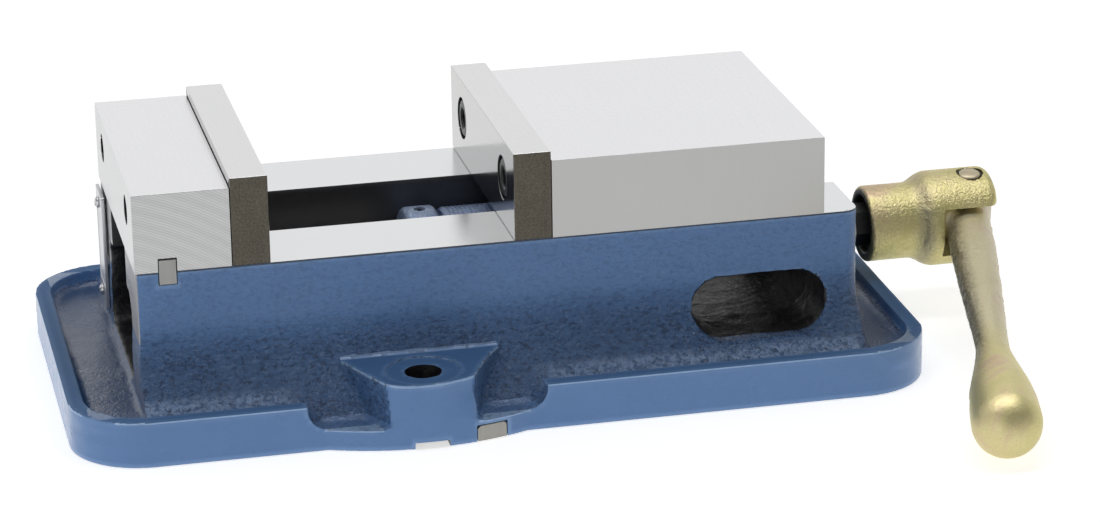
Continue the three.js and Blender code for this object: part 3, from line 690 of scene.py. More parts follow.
def lattice_noise(p, wavelength, seed, octaves=2):
    """Smooth noise, about -1 to 1, the same every run."""
    turn = np.array([[0.36, 0.48, -0.80], [-0.80, 0.60, 0.0], [0.48, 0.64, 0.60]])
    out = np.zeros(len(p))
    amp, total = 1.0, 0.0
    q = p @ turn.T
    for o in range(octaves):
        table = np.random.RandomState(seed + o).uniform(-1, 1, (32, 32, 32))
        g = q / wavelength + 11.3 * o
        i = np.floor(g).astype(int)
        t = g - i
        t = t * t * (3 - 2 * t)
        acc = 0
        for a in (0, 1):
            for b in (0, 1):
                for c in (0, 1):
                    w = (t[:, 0] if a else 1 - t[:, 0]) * (t[:, 1] if b else 1 - t[:, 1]) * (t[:, 2] if c else 1 - t[:, 2])
                    acc = acc + w * table[(i[:, 0] + a) % 32, (i[:, 1] + b) % 32, (i[:, 2] + c) % 32]
        out += amp * acc
        total += amp
        amp *= 0.5
        wavelength *= 0.52
    return out / total * 1.6


def field_piece(name, f, lo, hi, h, angle=35, budget=None, transform=None, rough=None):
    co, quads = dual_contour(f, lo, hi, h)
    if rough is not None:
        e = 0.05
        g = np.stack([f(co[:, 0] + e * (k == 0), co[:, 1] + e * (k == 1), co[:, 2] + e * (k == 2))
                      - f(co[:, 0] - e * (k == 0), co[:, 1] - e * (k == 1), co[:, 2] - e * (k == 2)) for k in range(3)], 1)
        g /= np.maximum(np.linalg.norm(g, axis=1), 1e-12)[:, None]
        co = co + g * rough(co, g)[:, None]
    obj = quick_mesh(name, co, quads)
    if budget and 2 * len(quads) > budget:
        d = obj.modifiers.new("thin", "DECIMATE")
        d.ratio = budget / (2 * len(quads))
        evaluated(obj)
    if transform is not None:
        obj.data.transform(transform)
    return smooth(obj, angle)


def point_attribute(obj, name, values):
    a = obj.data.attributes.new(name, "FLOAT", "POINT")
    a.data.foreach_set("value", np.asarray(values, np.float32))


def face_value(obj, name, values):
    a = obj.data.attributes.new(name, "FLOAT", "FACE")
    a.data.foreach_set("value", np.asarray(values, np.float32))


def points_of(obj):
    me = obj.data
    co = np.zeros(len(me.vertices) * 3, np.float32); me.vertices.foreach_get("co", co)
    no = np.zeros(len(me.vertices) * 3, np.float32); me.vertices.foreach_get("normal", no)
    return co.reshape(-1, 3).astype(float) / MM, no.reshape(-1, 3).astype(float)


# ------------------------------------------------------------------ bed casting
LUGX, LUGR = -44.15, 123.2


def spline(pts, n=3):
    """Points of a smooth curve through pts."""
    p = np.array(pts, float)
    p = np.concatenate([2 * p[:1] - p[1:2], p, 2 * p[-1:] - p[-2:-1]])
    out = []
    for i in range(1, len(p) - 2):
        for k in range(n):
            t = k / n
            a, b, c, d = p[i - 1], p[i], p[i + 1], p[i + 2]
            out.append(tuple(0.5 * (2 * b + (c - a) * t + (2 * a - 5 * b + 4 * c - d) * t * t + (3 * b - a - 3 * c + d) * t ** 3)))
    return out + [tuple(p[-2])]


LUG_TOP = [(-88, 62)] + spline([(-83.2, 75), (-78.6, 85), (-72, 100.7), (-66.8, 112.5), (-64, 117.2), (-60, 120.6), (-53.5, 122.7), (-45.4, 123.2),
                                (-37, 122.1), (-30.5, 120), (-25.2, 118.2), (-22, 115.4), (-18.1, 107.5), (-13.3, 97.5), (-6.9, 86.6), (1.2, 75)], 2) + [(8, 62)]
LUG_FOOT = [(-88, 62)] + spline([(-83.2, 75), (-78.6, 85), (-72, 100.7), (-66.8, 113), (-64, 119.5), (-59.5, 122.2), (-53, 123.0), (-45.4, 123.2),
                                 (-37, 123.0), (-30.5, 122.4), (-25.5, 121.6), (-21.4, 119.6), (-18.1, 107.5), (-13.3, 97.5), (-6.9, 86.6), (1.2, 75)], 2) + [(8, 62)]


def lug_plan(x, ay, pts):
    u, v = np.broadcast_arrays(x, ay)
    out = np.full(u.shape, 30.0)
    m = (u > -112) & (u < 30) & (v > 40)
    out[m] = polygon(u[m], v[m], pts)
    return out


def bed(x, y, z):
    ay = np.abs(y)
    disc = np.hypot(x - LUGX, y) - LUGR
    rim2 = rrect(x, y, -211.75, 211.75, -113.3, 113.3, 37)
    base2 = np.minimum(rim2, disc)
    base = np.minimum(inter(rim2, z - 22.6, 1.1), inter(disc, z - 10.4, 0.5))
    pocket2 = rrect(x, y, -203.25, 203.25, -104.8, 104.8, 28.5)
    pocket = inter(pocket2 - 0.10 * (z - 15), 15 - z, 4.5)
    d = sub(base, pocket, 0.9)
    # walls with coves down to the pocket floor
    wall2 = rrect(x, y, -176.25, 181.5, -75, 75, 0.8)
    right2 = rrect(x, y, -300, 181.5, -75, 75, 9)
    wall2 = np.maximum(wall2, right2)
    prof = uni(wall2, z - 15.0, 32)
    prof = inter(prof, ay - 106.5, 0.5)
    prof = inter(prof, slab(x, -176.25, 181.5), 2.2)
    prof = inter(prof, z - 83, 0.35)
    d = uni(d, prof, 2.4)
    # scoops beside the lugs
    soft = 0.8 + 6.0 * np.clip((106 - ay) / 9, 0, 1)
    for x0, x1 in ((-102, -58), (-30, 14.2)):
        scoop = inter(rrect(x, ay, x0, x1, 96.5, 160, 15), 10.4 - z, 10.5)
        d = sub(d, scoop, soft)
    # lugs, flared into the cove behind them
    top2, foot2 = lug_plan(x, ay, LUG_TOP), lug_plan(x, ay, LUG_FOOT)
    s = np.clip((32 - z) / 21, 0, 1)
    lug = inter(top2 + (foot2 - top2) * s * s * (3 - 2 * s), z - 32, 0.8)
    d = uni(d, lug, 1.5 + 3.5 * np.clip((29 - z) / 5, 0, 1))
    d = np.maximum(d, np.minimum(base2, prof))
    d = inter(d, -z, 0.5)
    # hold-down holes and spot faces
    r = np.hypot(x - LUGX, ay - 102.6)
    d = sub(d, inter(r - 18, 31.2 - z, 0), 0.3)
    d = sub(d, r - 8.9, 0.5)
    # channel
    slot = np.maximum(np.maximum(ay - 29.66, 17 - z), slab(x, -180, 164))
    cave = np.maximum(inter(rrect(y, z, -45, 45, 17, 61, 9), x - 164, 5), -180 - x)
    over = np.maximum(np.maximum(ay - 29.66, 70 - z), 150 - x)
    d = sub(d, cave, 2.0)
    d = sub(d, slot, 0.35)
    d = sub(d, over, 0.35)
    # clean-out windows
    d = sub(d, np.maximum(rrect(x, z, 95.5, 163.2, 24, 54.5, 15.2), 40 - ay), 1.3)
    # end wall bore
    d = sub(d, np.maximum(np.hypot(y, z - AXIS_Z) - 16, 160 - x), 0.5)
    # fixed jaw bolts and keyway
    rb = np.hypot(x + 146, ay - 60)
    d = sub(d, rb - 7)
    d = sub(d, np.maximum(rb - 10.4, z - 44))
    d = sub(d, np.maximum(slab(x, -164.95, -155.95), 76.3 - z))
    # cross keyway and the seat of the index insert
    d = sub(d, np.maximum(slab(x, LUGX - 8.4, LUGX + 8.4), z - 3), 0.2)
    seat = np.maximum(np.maximum(slab(x, -22.3, -6.7), y + 114.6), z - 8.3)
    d = sub(d, seat)
    return d


def interior(x, y, z):
    """1 inside the channel, its cave and the windows, where the casting is bare and dark; its near-black colour there
    also carries painted shade.
    """
    cave = (np.abs(y) < 45.6) & (z > 16) & (z < 62) & (x > -175.9) & (x < 165)
    slot = (np.abs(y) < 30.2) & (z > 16) & (z < 82.4) & (x > -175.9) & (x < 165)
    window = (rrect(x, z, 95.5, 163.2, 24, 54.5, 15.2) < 1.0) & (np.abs(y) > 44) & (np.abs(y) < 76.5)
    return cave | slot | window


def bed_coarse_and_shade(p, g):
    """How rough the casting's skin is, 0 to 1; the paint shader also darkens by it, as painted shade low in the cove
    and in the scoops.
    """
    x, y, z = p.T
    ay = np.abs(y)
    in_rim = np.clip((1.0 - rrect(x, y, -203.25, 203.25, -104.8, 104.8, 28.5)) / 3, 0, 1)
    c = in_rim * np.clip((64 - z) / 26, 0.30, 1)
    c = np.where((z < 16.6) & (np.abs(x) > 176), 0.2 * c, c)
    scoop = (((x > -104) & (x < -60)) | ((x > -28) & (x < 18))) & (ay > 78) & (z > 11)
    c = np.where(scoop, 1.0, c)
    floor = (((x > -104) & (x < -60)) | ((x > -28) & (x < 18))) & (ay > 90) & (z <= 12.5)
    c = np.where(floor, 0.45, c)
    c = np.where((z > 30.6) & (g[:, 2] > 0.9) & (ay > 76), 0.0, c)
    c = np.where((z < 9.8) & (ay > 100), 0.0, c)
    c = np.where((z > 20) & (g[:, 2] > 0.9) & (ay > 105.4), 0.0, c)
    lug_face = (ay > 112.5) & (np.abs(g[:, 1]) > 0.6) & (np.abs(g[:, 2]) < 0.6)
    c = np.where(lug_face, 0.0, c)
    nose = (ay > 100) & (z > 9.8) & (z < 31.5) & (np.abs(x - LUGX) < 28)
    c = np.where(nose, c * np.clip((0.85 - np.abs(g[:, 1])) / 0.4, 0, 1), c)
    c = np.where(interior(x, y, z), 0.9, c)
    return c


def machined(p, g):
    x, y, z = p.T
    ay = np.abs(y)
    m = (z > 82.2)
    m |= (ay < 29.9) & (z > 61)
    m |= (x < -175.6) & (z > 23)
    m |= (z < 3.2) & (ay < 130) & (g[:, 2] < -0.5)
    m |= (z < 1.2)
    m |= (np.hypot(x - LUGX, ay - 102.6) < 19)
    m |= (z > 31.2) & (z < 32.4) & (g[:, 2] > 0.9) & (ay > 75) & (x > -84) & (x < 2)
    m |= (np.hypot(y, z - AXIS_Z) < 16.5) & (x > 160)
    m |= np.hypot(x + 146, ay - 60) < 11
    m |= (x > -165.5) & (x < -155.5) & (z > 75.8)
    m |= (x > -23) & (x < -6) & (y < -112) & (z < 8.8)
    m |= (x > -53) & (x < -35) & (z < 3.4)
    return m


def bed_rough(p, g):
    c = bed_coarse_and_shade(p, g)
    lumps = lattice_noise(p, 6.5, 5, 3)
    peel = lattice_noise(p, 9.0, 31, 2)
    amp = np.where(interior(*p.T), 0.35, 0.05 + 0.22 * c)
    ends = (np.abs(p[:, 0]) > 178) & (p[:, 2] < 17.5) & (p[:, 2] > 12)
    d = amp * lumps + 0.05 * peel + np.where(ends, 0.38, 0.0) * lattice_noise(p, 15.0, 91, 2)
    return np.where(machined(p, g), 0.0, d)


body_obj = field_piece("bed_casting", bed, (-216, -129, -3), (216, 129, 86.9), 1.65, angle=34, budget=188000, rough=bed_rough)
co, no = points_of(body_obj)
X, Y, Z = co.T
# painted highlight value: high where the casting is convex or thin, at rims, lips and lug corners
d2 = bed(X - 2.2 * no[:, 0], Y - 2.2 * no[:, 1], Z - 2.2 * no[:, 2])
point_attribute(body_obj, "edge_highlight", np.clip((d2 + 2.2) / 2.2 * 1.5 - 0.15, 0, 1))
middle = np.zeros(len(body_obj.data.polygons) * 3, np.float32)
facing = middle.copy()
body_obj.data.polygons.foreach_get("center", middle)
body_obj.data.polygons.foreach_get("normal", facing)
middle = middle.reshape(-1, 3).astype(float) / MM
facing = facing.reshape(-1, 3).astype(float)
face_value(body_obj, "coarse_and_shade", bed_coarse_and_shade(middle, facing))
# painted shade on the floors of the end pockets
pocket_floor_shade = (middle[:, 2] > 12.5) & (middle[:, 2] < 17.6) & (facing[:, 2] > 0.4) & (np.abs(middle[:, 0]) > 176.3)
face_value(body_obj, "pocket_floor_shade", np.where(pocket_floor_shade, 1.0, 0.0))


def bed_faces(c, n):
    x, y, z = c.T
    ay = np.abs(y)
    m = np.zeros(len(c), int)
    # index 3: the near-black bare casting, partly painted shade, in the channel, the cross keyway and the hold-down
    # holes
    m[interior(x, y, z)] = 3
    # index 2: the dark slot steel, painted shade on the slot walls, the end-wall bore and the keyway; also on the
    # underside
    m[(ay < 30.2) & (z > 61.2) & (np.abs(n[:, 1]) > 0.7)] = 2
    m[(ay < 29.8) & (x > 163.8) & (z > 69.5) & (n[:, 2] > 0.8)] = 2
    m[(np.hypot(y, z - AXIS_Z) < 16.4) & (x > 163)] = 2
    m[(z < 0.6) & (n[:, 2] < -0.8)] = 2
    m[(np.abs(x - LUGX) < 8.7) & (z < 3.4) & (ay < 123.0) & ((n[:, 2] < -0.7) | (np.abs(n[:, 0]) > 0.8))] = 3
    m[(z > 82.7) & (n[:, 2] > 0.8)] = 1
    m[(x < -175.2) & (n[:, 0] < -0.55) & (z > 47) & (ay > 29)] = 4
    m[(x < -155.9) & (x > -165) & (z > 76.2) & (z < 82.9) & (np.abs(n[:, 1]) < 0.5)] = 2
    # index 5: the darker flat paint, painted shade on the lug tops and rim tops
    m[(z > 31) & (z < 32.3) & (n[:, 2] > 0.93) & (ay > 80.6)] = 5
    m[(z > 22.2) & (z < 22.9) & (n[:, 2] > 0.85) & (ay > 104)] = 5
    m[(z > 22.2) & (z < 22.9) & (n[:, 2] > 0.85) & (np.abs(x) > 203)] = 5
    m[(np.hypot(x - LUGX, ay - 102.6) < 9.3) & (z > 0.3) & (z < 31.1)] = 3
    return m


place(body_obj, ["blue", "way", "slot", "inner", "end_strip", "flat_blue_shaded"], "bed", "vise_body", bed_faces)


# ------------------------------------------------------------------ index insert
arc = []
for i in range(13):
    x = -7 - 15 * i / 12
    arc.append((x, -math.sqrt(LUGR ** 2 - (x - LUGX) ** 2)))
insert = prism("index_plate", [(-22, -115), (-7, -115)] + arc, 0, 8, "z")
groove = prism("c", [(-15.1, -135), (-13.9, -135), (-13.9, -121.0), (-14.5, -120.6), (-15.1, -121.0)], -1, 9, "z")
c1 = prism("c", [(-23, 5.4), (-23, 9), (-19.4, 9)], -135, -100, "y")
c2 = prism("c", [(-6, 5.4), (-9.6, 9), (-6, 9)], -135, -100, "y")
boolean(insert, [groove, c1, c2])
smooth(bevel(insert, 0.35, 2), 12)
place(insert, "key_pale", "bed", "index_insert")

# ------------------------------------------------------------------ data plate, blank
def ring_outline(u0, u1, v0, v1, r, seg=6):
    pts = []
    for cu, cv, a0 in ((u1 - r, v1 - r, 0), (u0 + r, v1 - r, 90), (u0 + r, v0 + r, 180), (u1 - r, v0 + r, 270)):
        for i in range(seg + 1):
            a = math.radians(a0 + 90 * i / seg)
            pts.append((cu + r * math.cos(a), cv + r * math.sin(a)))
    return pts

plate = prism("data_panel", ring_outline(50, 75, 20, 80, 1.5), -178.25, -176.55, "x")
recess = prism("c", ring_outline(51.6, 73.4, 31.5, 69.5, 1.0), -180, -177.95, "x")
holes = [lathe("c", [(0, -180), (1.7, -180), (1.7, -175), (0, -175)], 24, "x", (0, 62.5, z)) for z in (74, 27)]
boolean(plate, [recess] + holes)
smooth(bevel(plate, 0.25, 2), 17)
place(plate, "plate_al", "bed", "data_plate")
for name, z in (("data_plate_screw_upper", 74), ("data_plate_screw_lower", 27)):
    s = lathe(name + "_head", [(0, -180.45), (1.0, -180.38), (1.9, -180.1), (2.6, -179.6), (2.95, -178.95), (3.0, -178.55), (1.2, -178.55), (1.2, -171.55), (0, -171.55)], 32, "x", (0, 62.5, z))
    cutter = block("c", (-182, 62.5 - 3.4, z - 0.4), (-179.7, 62.5 + 3.4, z + 0.4))
    cutter.data.transform(Matrix.Translation((0, 0.0625, z * MM)) @ Matrix.Rotation(math.radians(24 if z > 50 else -37), 4, "X") @ Matrix.Translation((0, -0.0625, -z * MM)))
    boolean(s, [cutter])
    smooth(s, 32)
    place(s, "plate_al", "bed", name)

# ------------------------------------------------------------------ jaws
def cyl_x(r, x0, x1, y, z, seg=40):
    return lathe("c", [(0, x0), (r, x0), (r, x1), (0, x1)], seg, "x", (0, y, z))


def cyl_z(r, z0, z1, x, y, seg=40):
    return lathe("c", [(0, z0), (r, z0), (r, z1), (0, z1)], seg, "z", (x, y, 0))


jaw = block("fixed_jaw_block", (-176.25, -76.2, 83.3), (-129.8, 76.2, 122.4))
cutters = []
for s in (-1, 1):
    cutters.append(cyl_x(6.75, -180, -125, s * 49.2, 106.8))
    cutters.append(lathe("c", [(0, -177), (7.9, -177), (7.2, -175.7), (7.2, -157), (0, -155)], 48, "x", (0, s * 49.2, 106.8)))
    cutters.append(cyl_z(6.75, 70, 98.5, -146, s * 60))
cutters.append(block("c", (-164.95, -80, 80), (-155.95, 80, 90)))
boolean(jaw, cutters)
smooth(bevel(jaw, 0.55, 2), 12)


def jaw_faces(c, n):
    m = np.zeros(len(c), int)
    m[np.abs(n[:, 1]) > 0.8] = 1
    m[np.abs(n[:, 0]) > 0.8] = 2
    # index 3: the bolt counterbores, near-black as painted shade
    m[(np.hypot(np.abs(c[:, 1]) - 49.2, c[:, 2] - 106.8) < 7.35) & (c[:, 0] > -175.9)] = 3
    return m
place(jaw, ["jaw_top", "jaw_end", "jaw_left", "bore"], "bed", "fixed_jaw", jaw_faces)

for name, y0, y1 in (("fixed_jaw_key_front", -75.7, -31), ("fixed_jaw_key_rear", 31, 75.7)):
    k = block(name + "_bar", (-164.65, y0, 76.6), (-156.25, y1, 89.3))
    smooth(bevel(k, 0.4, 2), 12)
    place(k, "key", "bed", name)


def jaw_plate(name, x0, x1, face, into, body, node):
    p = block(name, (x0, -76.2, 83.3), (x1, 76.2, 127.07))
    cut = []
    for s in (-1, 1):
        cut.append(cyl_x(7.2, x0 - 2, x1 + 2, s * 49.2, 106.8))
        a, b = face - into * 1, face + into * 13
        cut.append(cyl_x(10.75, min(a, b), max(a, b), s * 49.2, 106.8, 64))
    boolean(p, cut)
    smooth(bevel(p, 0.4, 2), 12)

    def faces(c, n):
        m = np.zeros(len(c), int)
        m[np.abs(n[:, 1]) > 0.8] = 1
        m[np.abs(n[:, 0]) > 0.8] = 2
        # index 3: the screw counterbores, near-black as painted shade
        m[np.hypot(np.abs(c[:, 1]) - 49.2, c[:, 2] - 106.8) < 10.6] = 3
        m[(np.hypot(np.abs(c[:, 1]) - 49.2, c[:, 2] - 106.8) < 10.8) & (np.abs(n[:, 0]) < 0.4)] = 3
        return m
    place(p, ["plate_top", "plate_end", "plate_face", "bore"], body, node, faces)
    return p


jaw_plate("fixed_plate", -129.5, -111.3, -111.3, -1, "bed", "fixed_jaw_plate")
jaw_plate("movable_plate", 7.3, 25.7, 7.3, 1, "carriage", "movable_jaw_plate")


def cap_screw(name, head_r, head_h, shank_r, length, af, depth, place_at):
    """Head face at 0, pointing to -X, shank towards +X; place_at moves it."""
    c = 0.9
    prof = [(0, 0), (head_r - c, 0), (head_r - 0.35, 0.28), (head_r, c), (head_r, head_h - 0.3), (head_r - 0.3, head_h), (shank_r + 0.4, head_h), (shank_r, head_h + 0.5)]
    pitch = 1.95
    x = head_h + 8
    while x + pitch < head_h + length - 1.2:
        prof += [(shank_r, x), (shank_r - 0.75, x + pitch * 0.5), (shank_r, x + pitch)]
        x += pitch * 1.06
    prof += [(shank_r, head_h + length - 1.2), (shank_r - 1.2, head_h + length), (0, head_h + length)]
    s = lathe(name, prof, 48, "x", (0, 0, 0))
    R = af / 2 / math.cos(math.pi / 6)
    hexa = [(R * math.cos(math.radians(60 * i)), R * math.sin(math.radians(60 * i))) for i in range(6)]
    sock = prism("c", hexa, -1, depth, "x")
    drill = lathe("c", [(0, -1), (R + 0.5 + 1, -1), (R - 0.35, 0.85), (0, 0.85)], 48, "x", (0, 0, 0))
    tip = lathe("c", [(0, depth - 0.3), (af / 2 - 0.2, depth - 0.3), (0, depth + 2.2)], 32, "x", (0, 0, 0))
    boolean(s, [sock, drill, tip])
    s.data.transform(place_at)
    return smooth(s, 30)


flip = Matrix.Rotation(math.pi, 4, "Z")
for tag, s, turn in (("front", -1, 11), ("rear", 1, 41)):
    spin = Matrix.Rotation(math.radians(turn), 4, "X")
    a = cap_screw("fixed_plate_cap_screw_" + tag, 9.5, 12.2, 6.35, 30, 9.5, 6.5, Matrix.Translation(Vector((-111.8, s * 49.2, 106.8)) * MM) @ flip @ spin)
    place(a, "black", "bed", "fixed_plate_screw_" + tag)
    b = cap_screw("movable_plate_cap_screw_" + tag, 9.5, 12.2, 6.35, 28, 9.5, 6.5, Matrix.Translation(Vector((7.8, s * 49.2, 106.8)) * MM) @ spin)
    place(b, "black", "carriage", "movable_plate_screw_" + tag)
    c = cap_screw("fixed_jaw_cap_bolt_" + tag, 9.5, 12.7, 6.35, 53, 9.5, 6.5, Matrix.Translation(Vector((-146, s * 60, 31)) * MM) @ Matrix.Rotation(-math.pi / 2, 4, "Y") @ spin)
    place(c, "black", "bed", "fixed_jaw_bolt_" + tag)

mj = block("movable_jaw_block", (26, -76.2, 83.3), (162.2, 76.2, 122.4))
tongue = block("t", (106, -29.3, 76.6), (160, 29.3, 90))
boolean(mj, [tongue], "UNION")
cutters = [prism("c", [(57, 80), (100, 80), (100, 114), (31, 114), (31, 109), (57, 83)], -20, 20, "y")]
ball = lathe("c", [(0, -11.5)] + [(11.5 * math.cos(math.radians(t)), 11.5 * math.sin(math.radians(t))) for t in range(-80, 81, 10)] + [(0, 11.5)], 40, "z", (45.8, 0, 97.8))
cutters.append(ball)
for s in (-1, 1):
    cutters.append(cyl_x(6.75, 24, 54, s * 49.2, 106.8))
cutters.append(cyl_x(5.4, 95, 166, 0, 103))
boolean(mj, cutters)
smooth(bevel(mj, 0.6, 2), 12)


def mjaw_faces(c, n):
    m = np.zeros(len(c), int)
    m[(np.abs(n[:, 1]) > 0.8)] = 1
    m[(np.abs(n[:, 0]) > 0.8)] = 2
    # index 3: the pocket for the nut's horn and the set-screw hole, near-black as painted shade
    m[(np.abs(c[:, 1]) < 20.5) & (c[:, 0] > 30) & (c[:, 0] < 101) & (c[:, 2] < 115)] = 3
    m[(np.hypot(c[:, 1], c[:, 2] - 103) < 5.6) & (c[:, 0] < 161.8)] = 3
    return m
place(mj, ["jaw_top", "jaw_side", "jaw_left", "bore"], "carriage", "movable_jaw", mjaw_faces)

# set screw in the back of the jaw
ss = lathe("jaw_grub", [(0, 82.4), (3.2, 82.4), (4.4, 83.4), (5.0, 84.2)] + [p for i in range(16) for p in ((5.0, 85.2 + 2 * i), (4.45, 86.2 + 2 * i))] + [(5.0, 117.3), (4.3, 118), (0, 118)], 40, "x", (0, 0, 103))
R = 4.8 / 2 / math.cos(math.pi / 6)
boolean(ss, [prism("c", [(R * math.cos(math.radians(60 * i)), 103 + R * math.sin(math.radians(60 * i))) for i in range(6)], 112, 120, "x")])
place(smooth(ss, 30), "black", "carriage", "jaw_set_screw")

# half-ball segment
seg_prof = [(0, -11)] + [(11 * math.cos(math.radians(t)), 11 * math.sin(math.radians(t))) for t in range(-84, -1, 6)] + [(10.75, -0.3), (0, -0.3)]
seg = lathe("angle_lock_segment", seg_prof, 48, "y", (0, 0, 0))
q = Vector((0, 1, 0)).rotation_difference(Vector((1, 0, 1)).normalized())
seg.data.transform(Matrix.Translation(Vector((46, 0, 98)) * MM) @ q.to_matrix().to_4x4())
place(smooth(seg, 30), "steel", "carriage", "jaw_segment")

# nut: ribbed barrel round the screw, hooked horn up into the jaw
prof = [(14.9, -33.25), (21.4, -33.25), (22, -32.6), (22, -14.4), (22.5, -13.9), (26.2, -13.75), (27.1, -13.0)]
x = -12.4
while x < 74:
    prof += [(27.45, x), (27.45, x + 0.9), (26.75, x + 1.25), (26.75, x + 1.9)]
    x += 2.2
prof += [(27.45, 76.4), (26.6, 78), (14.9, 78)]
nut = lathe("nut_body", prof, 96, "x")
horn = prism("t", [(58, 60), (82, 60), (82, 112), (36, 112), (36, 108), (58, 86)], -18, 18, "y")
boolean(nut, [horn], "UNION")
boolean(nut, [cyl_x(14.9, 15, 90, 0, AXIS_Z, 64), cyl_x(18.6, -40, 20, 0, AXIS_Z, 64), cyl_z(2.6, 66, 72, -25, 0, 24)])


def nut_faces(c, n):
    r = np.hypot(c[:, 1], c[:, 2] - AXIS_Z)
    m = np.where((r > 19) & (r < 28) & (c[:, 2] < 76), 0, 1)
    return m
place(smooth(nut, 30), ["nut", "steel"], "carriage", "nut", nut_faces)

wiper = lathe("nut_wiper", [(22.3, -33.0), (22.6, -33.25), (26.6, -33.25), (28.0, -32.6), (29, -31.2), (29, -18.4), (28.2, -17.0), (27, -16.25), (22.6, -16.25), (22.3, -16.5)], 96, "x")
boolean(wiper, [cyl_z(2.9, 66, 80, -25, 0, 32)])
place(smooth(wiper, 30), "nut", "carriage", "nut_wiper_collar")
grub = lathe("wiper_grub", [(0, 66.65), (1.7, 66.65), (2.3, 67.3), (2.3, 75.9), (1.8, 76.45), (0, 76.45)], 32, "z", (-25, 0, 0))
boolean(grub, [prism("c", [(-25 + 1.35 * math.cos(math.radians(60 * i)), 1.35 * math.sin(math.radians(60 * i))) for i in range(6)], 74.2, 78, "z")])
place(smooth(grub, 30), "black", "carriage", "nut_collar_grub_screw")

# ------------------------------------------------------------------ lead screw, left-hand trapezoidal thread
def lead_screw():
    pitch, crest, root = 5.08, 14.3, 11.7
    x0, x1 = -123.6, 146.0
    turn = [(0.0, crest), (0.35, crest), (0.50, root), (0.85, root)]
    rows_per = len(turn)
    seg = 56
    rows = []
    n_turns = int((x1 - x0) / pitch) + 4
    for k in range(n_turns):
        for f, r in turn:
            rows.append((x0 + (k - 1) * pitch + f * pitch, r))
    bm = bmesh.new()
    grid = []
    for x, r in rows:
        line = []
        for i in range(seg + 1):
            a = 2 * math.pi * i / seg
            xx = x - pitch * i / seg
            rr = r
            if xx <= x0:
                xx, rr = x0, root
            if xx >= x1:
                xx, rr = x1, root
            line.append(bm.verts.new((xx * MM, rr * math.cos(a) * MM, (AXIS_Z + rr * math.sin(a)) * MM)))
        grid.append(line)
    for j in range(len(rows) - 1):
        for i in range(seg):
            bm.faces.new((grid[j][i], grid[j][i + 1], grid[j + 1][i + 1], grid[j + 1][i]))
    bmesh.ops.remove_doubles(bm, verts=bm.verts, dist=2e-6)
    bmesh.ops.dissolve_degenerate(bm, dist=1e-6, edges=bm.edges)
    bmesh.ops.holes_fill(bm, edges=[e for e in bm.edges if e.is_boundary], sides=0)
    bmesh.ops.recalc_face_normals(bm, faces=bm.faces)
    me = bpy.data.meshes.new("screw_shaft")
    bm.to_mesh(me)
    bm.free()
    obj = link(bpy.data.objects.new("screw_shaft", me))
    left = lathe("t", [(0, -141), (11.5, -141), (12.9, -139.6), (13, -126), (11.7, -124.6), (11.2, -120), (0, -120)], 64)
    mid = lathe("t", [(0, 140), (11.2, 140), (11.4, 147), (12.7, 148), (12.7, 149.6), (13.2, 150), (18.6, 150), (19, 150.4), (19, 155.6), (18.6, 156), (12.7, 156), (12.7, 198.6), (12.2, 199), (0, 199)], 64)
    R = 19.05 / 2 / math.cos(math.pi / 6)
    hexa = []
    for i in range(6):
        a = math.radians(60 * i) + TILT
        hexa.append((R * math.cos(a), AXIS_Z + R * math.sin(a)))
    hexp = prism("t", hexa, 197, 238, "x")
    m = hexp.modifiers.new("i", "BOOLEAN")
    cone = lathe("c", [(0, 196), (11.4, 196), (11.4, 236.6), (9.6, 238.1), (0, 238.1)], 64)
    m.operation, m.solver, m.object = "INTERSECT", "EXACT", cone
    evaluated(hexp)
    bpy.data.objects.remove(cone)
    boolean(obj, [left, mid, hexp], "UNION")
    boolean(obj, [cyl_z(2.2, AXIS_Z - 20, AXIS_Z + 20, -134, 0, 32)])
    return smooth(obj, 30)


# the screw's end beyond x = 186, inside the crank hub's mouth, takes the black oxide as painted shade
place(lead_screw(), ["thread", "black"], "spindle", "lead_screw", lambda c, n: np.where(c[:, 0] > 186, 1, 0))

stop = lathe("stop_ring", [(13.3, -139.7), (13.6, -140), (16.2, -140), (17, -139.2), (17, -128.8), (16.2, -128), (13.6, -128), (13.3, -128.3)], 64)
boolean(stop, [cyl_z(2.2, AXIS_Z - 20, AXIS_Z + 20, -134, 0, 32)])
place(smooth(stop, 30), "steel", "spindle", "screw_stop_collar")
place(smooth(lathe("stop_pin", [(0, AXIS_Z - 16.6), (1.5, AXIS_Z - 16.6), (1.9, AXIS_Z - 16.1), (1.9, AXIS_Z + 16.1), (1.5, AXIS_Z + 16.6), (0, AXIS_Z + 16.6)], 32, "z", (-134, 0, 0)), 30), "steel", "spindle", "stop_collar_pin")


def ring(name, r0, r1, x0, x1, c=0.3, seg=80):
    return smooth(lathe(name, [(r0, x0 + c), (r0 + c, x0), (r1 - c, x0), (r1, x0 + c), (r1, x1 - c), (r1 - c, x1), (r0 + c, x1), (r0, x1 - c)], seg), 30)


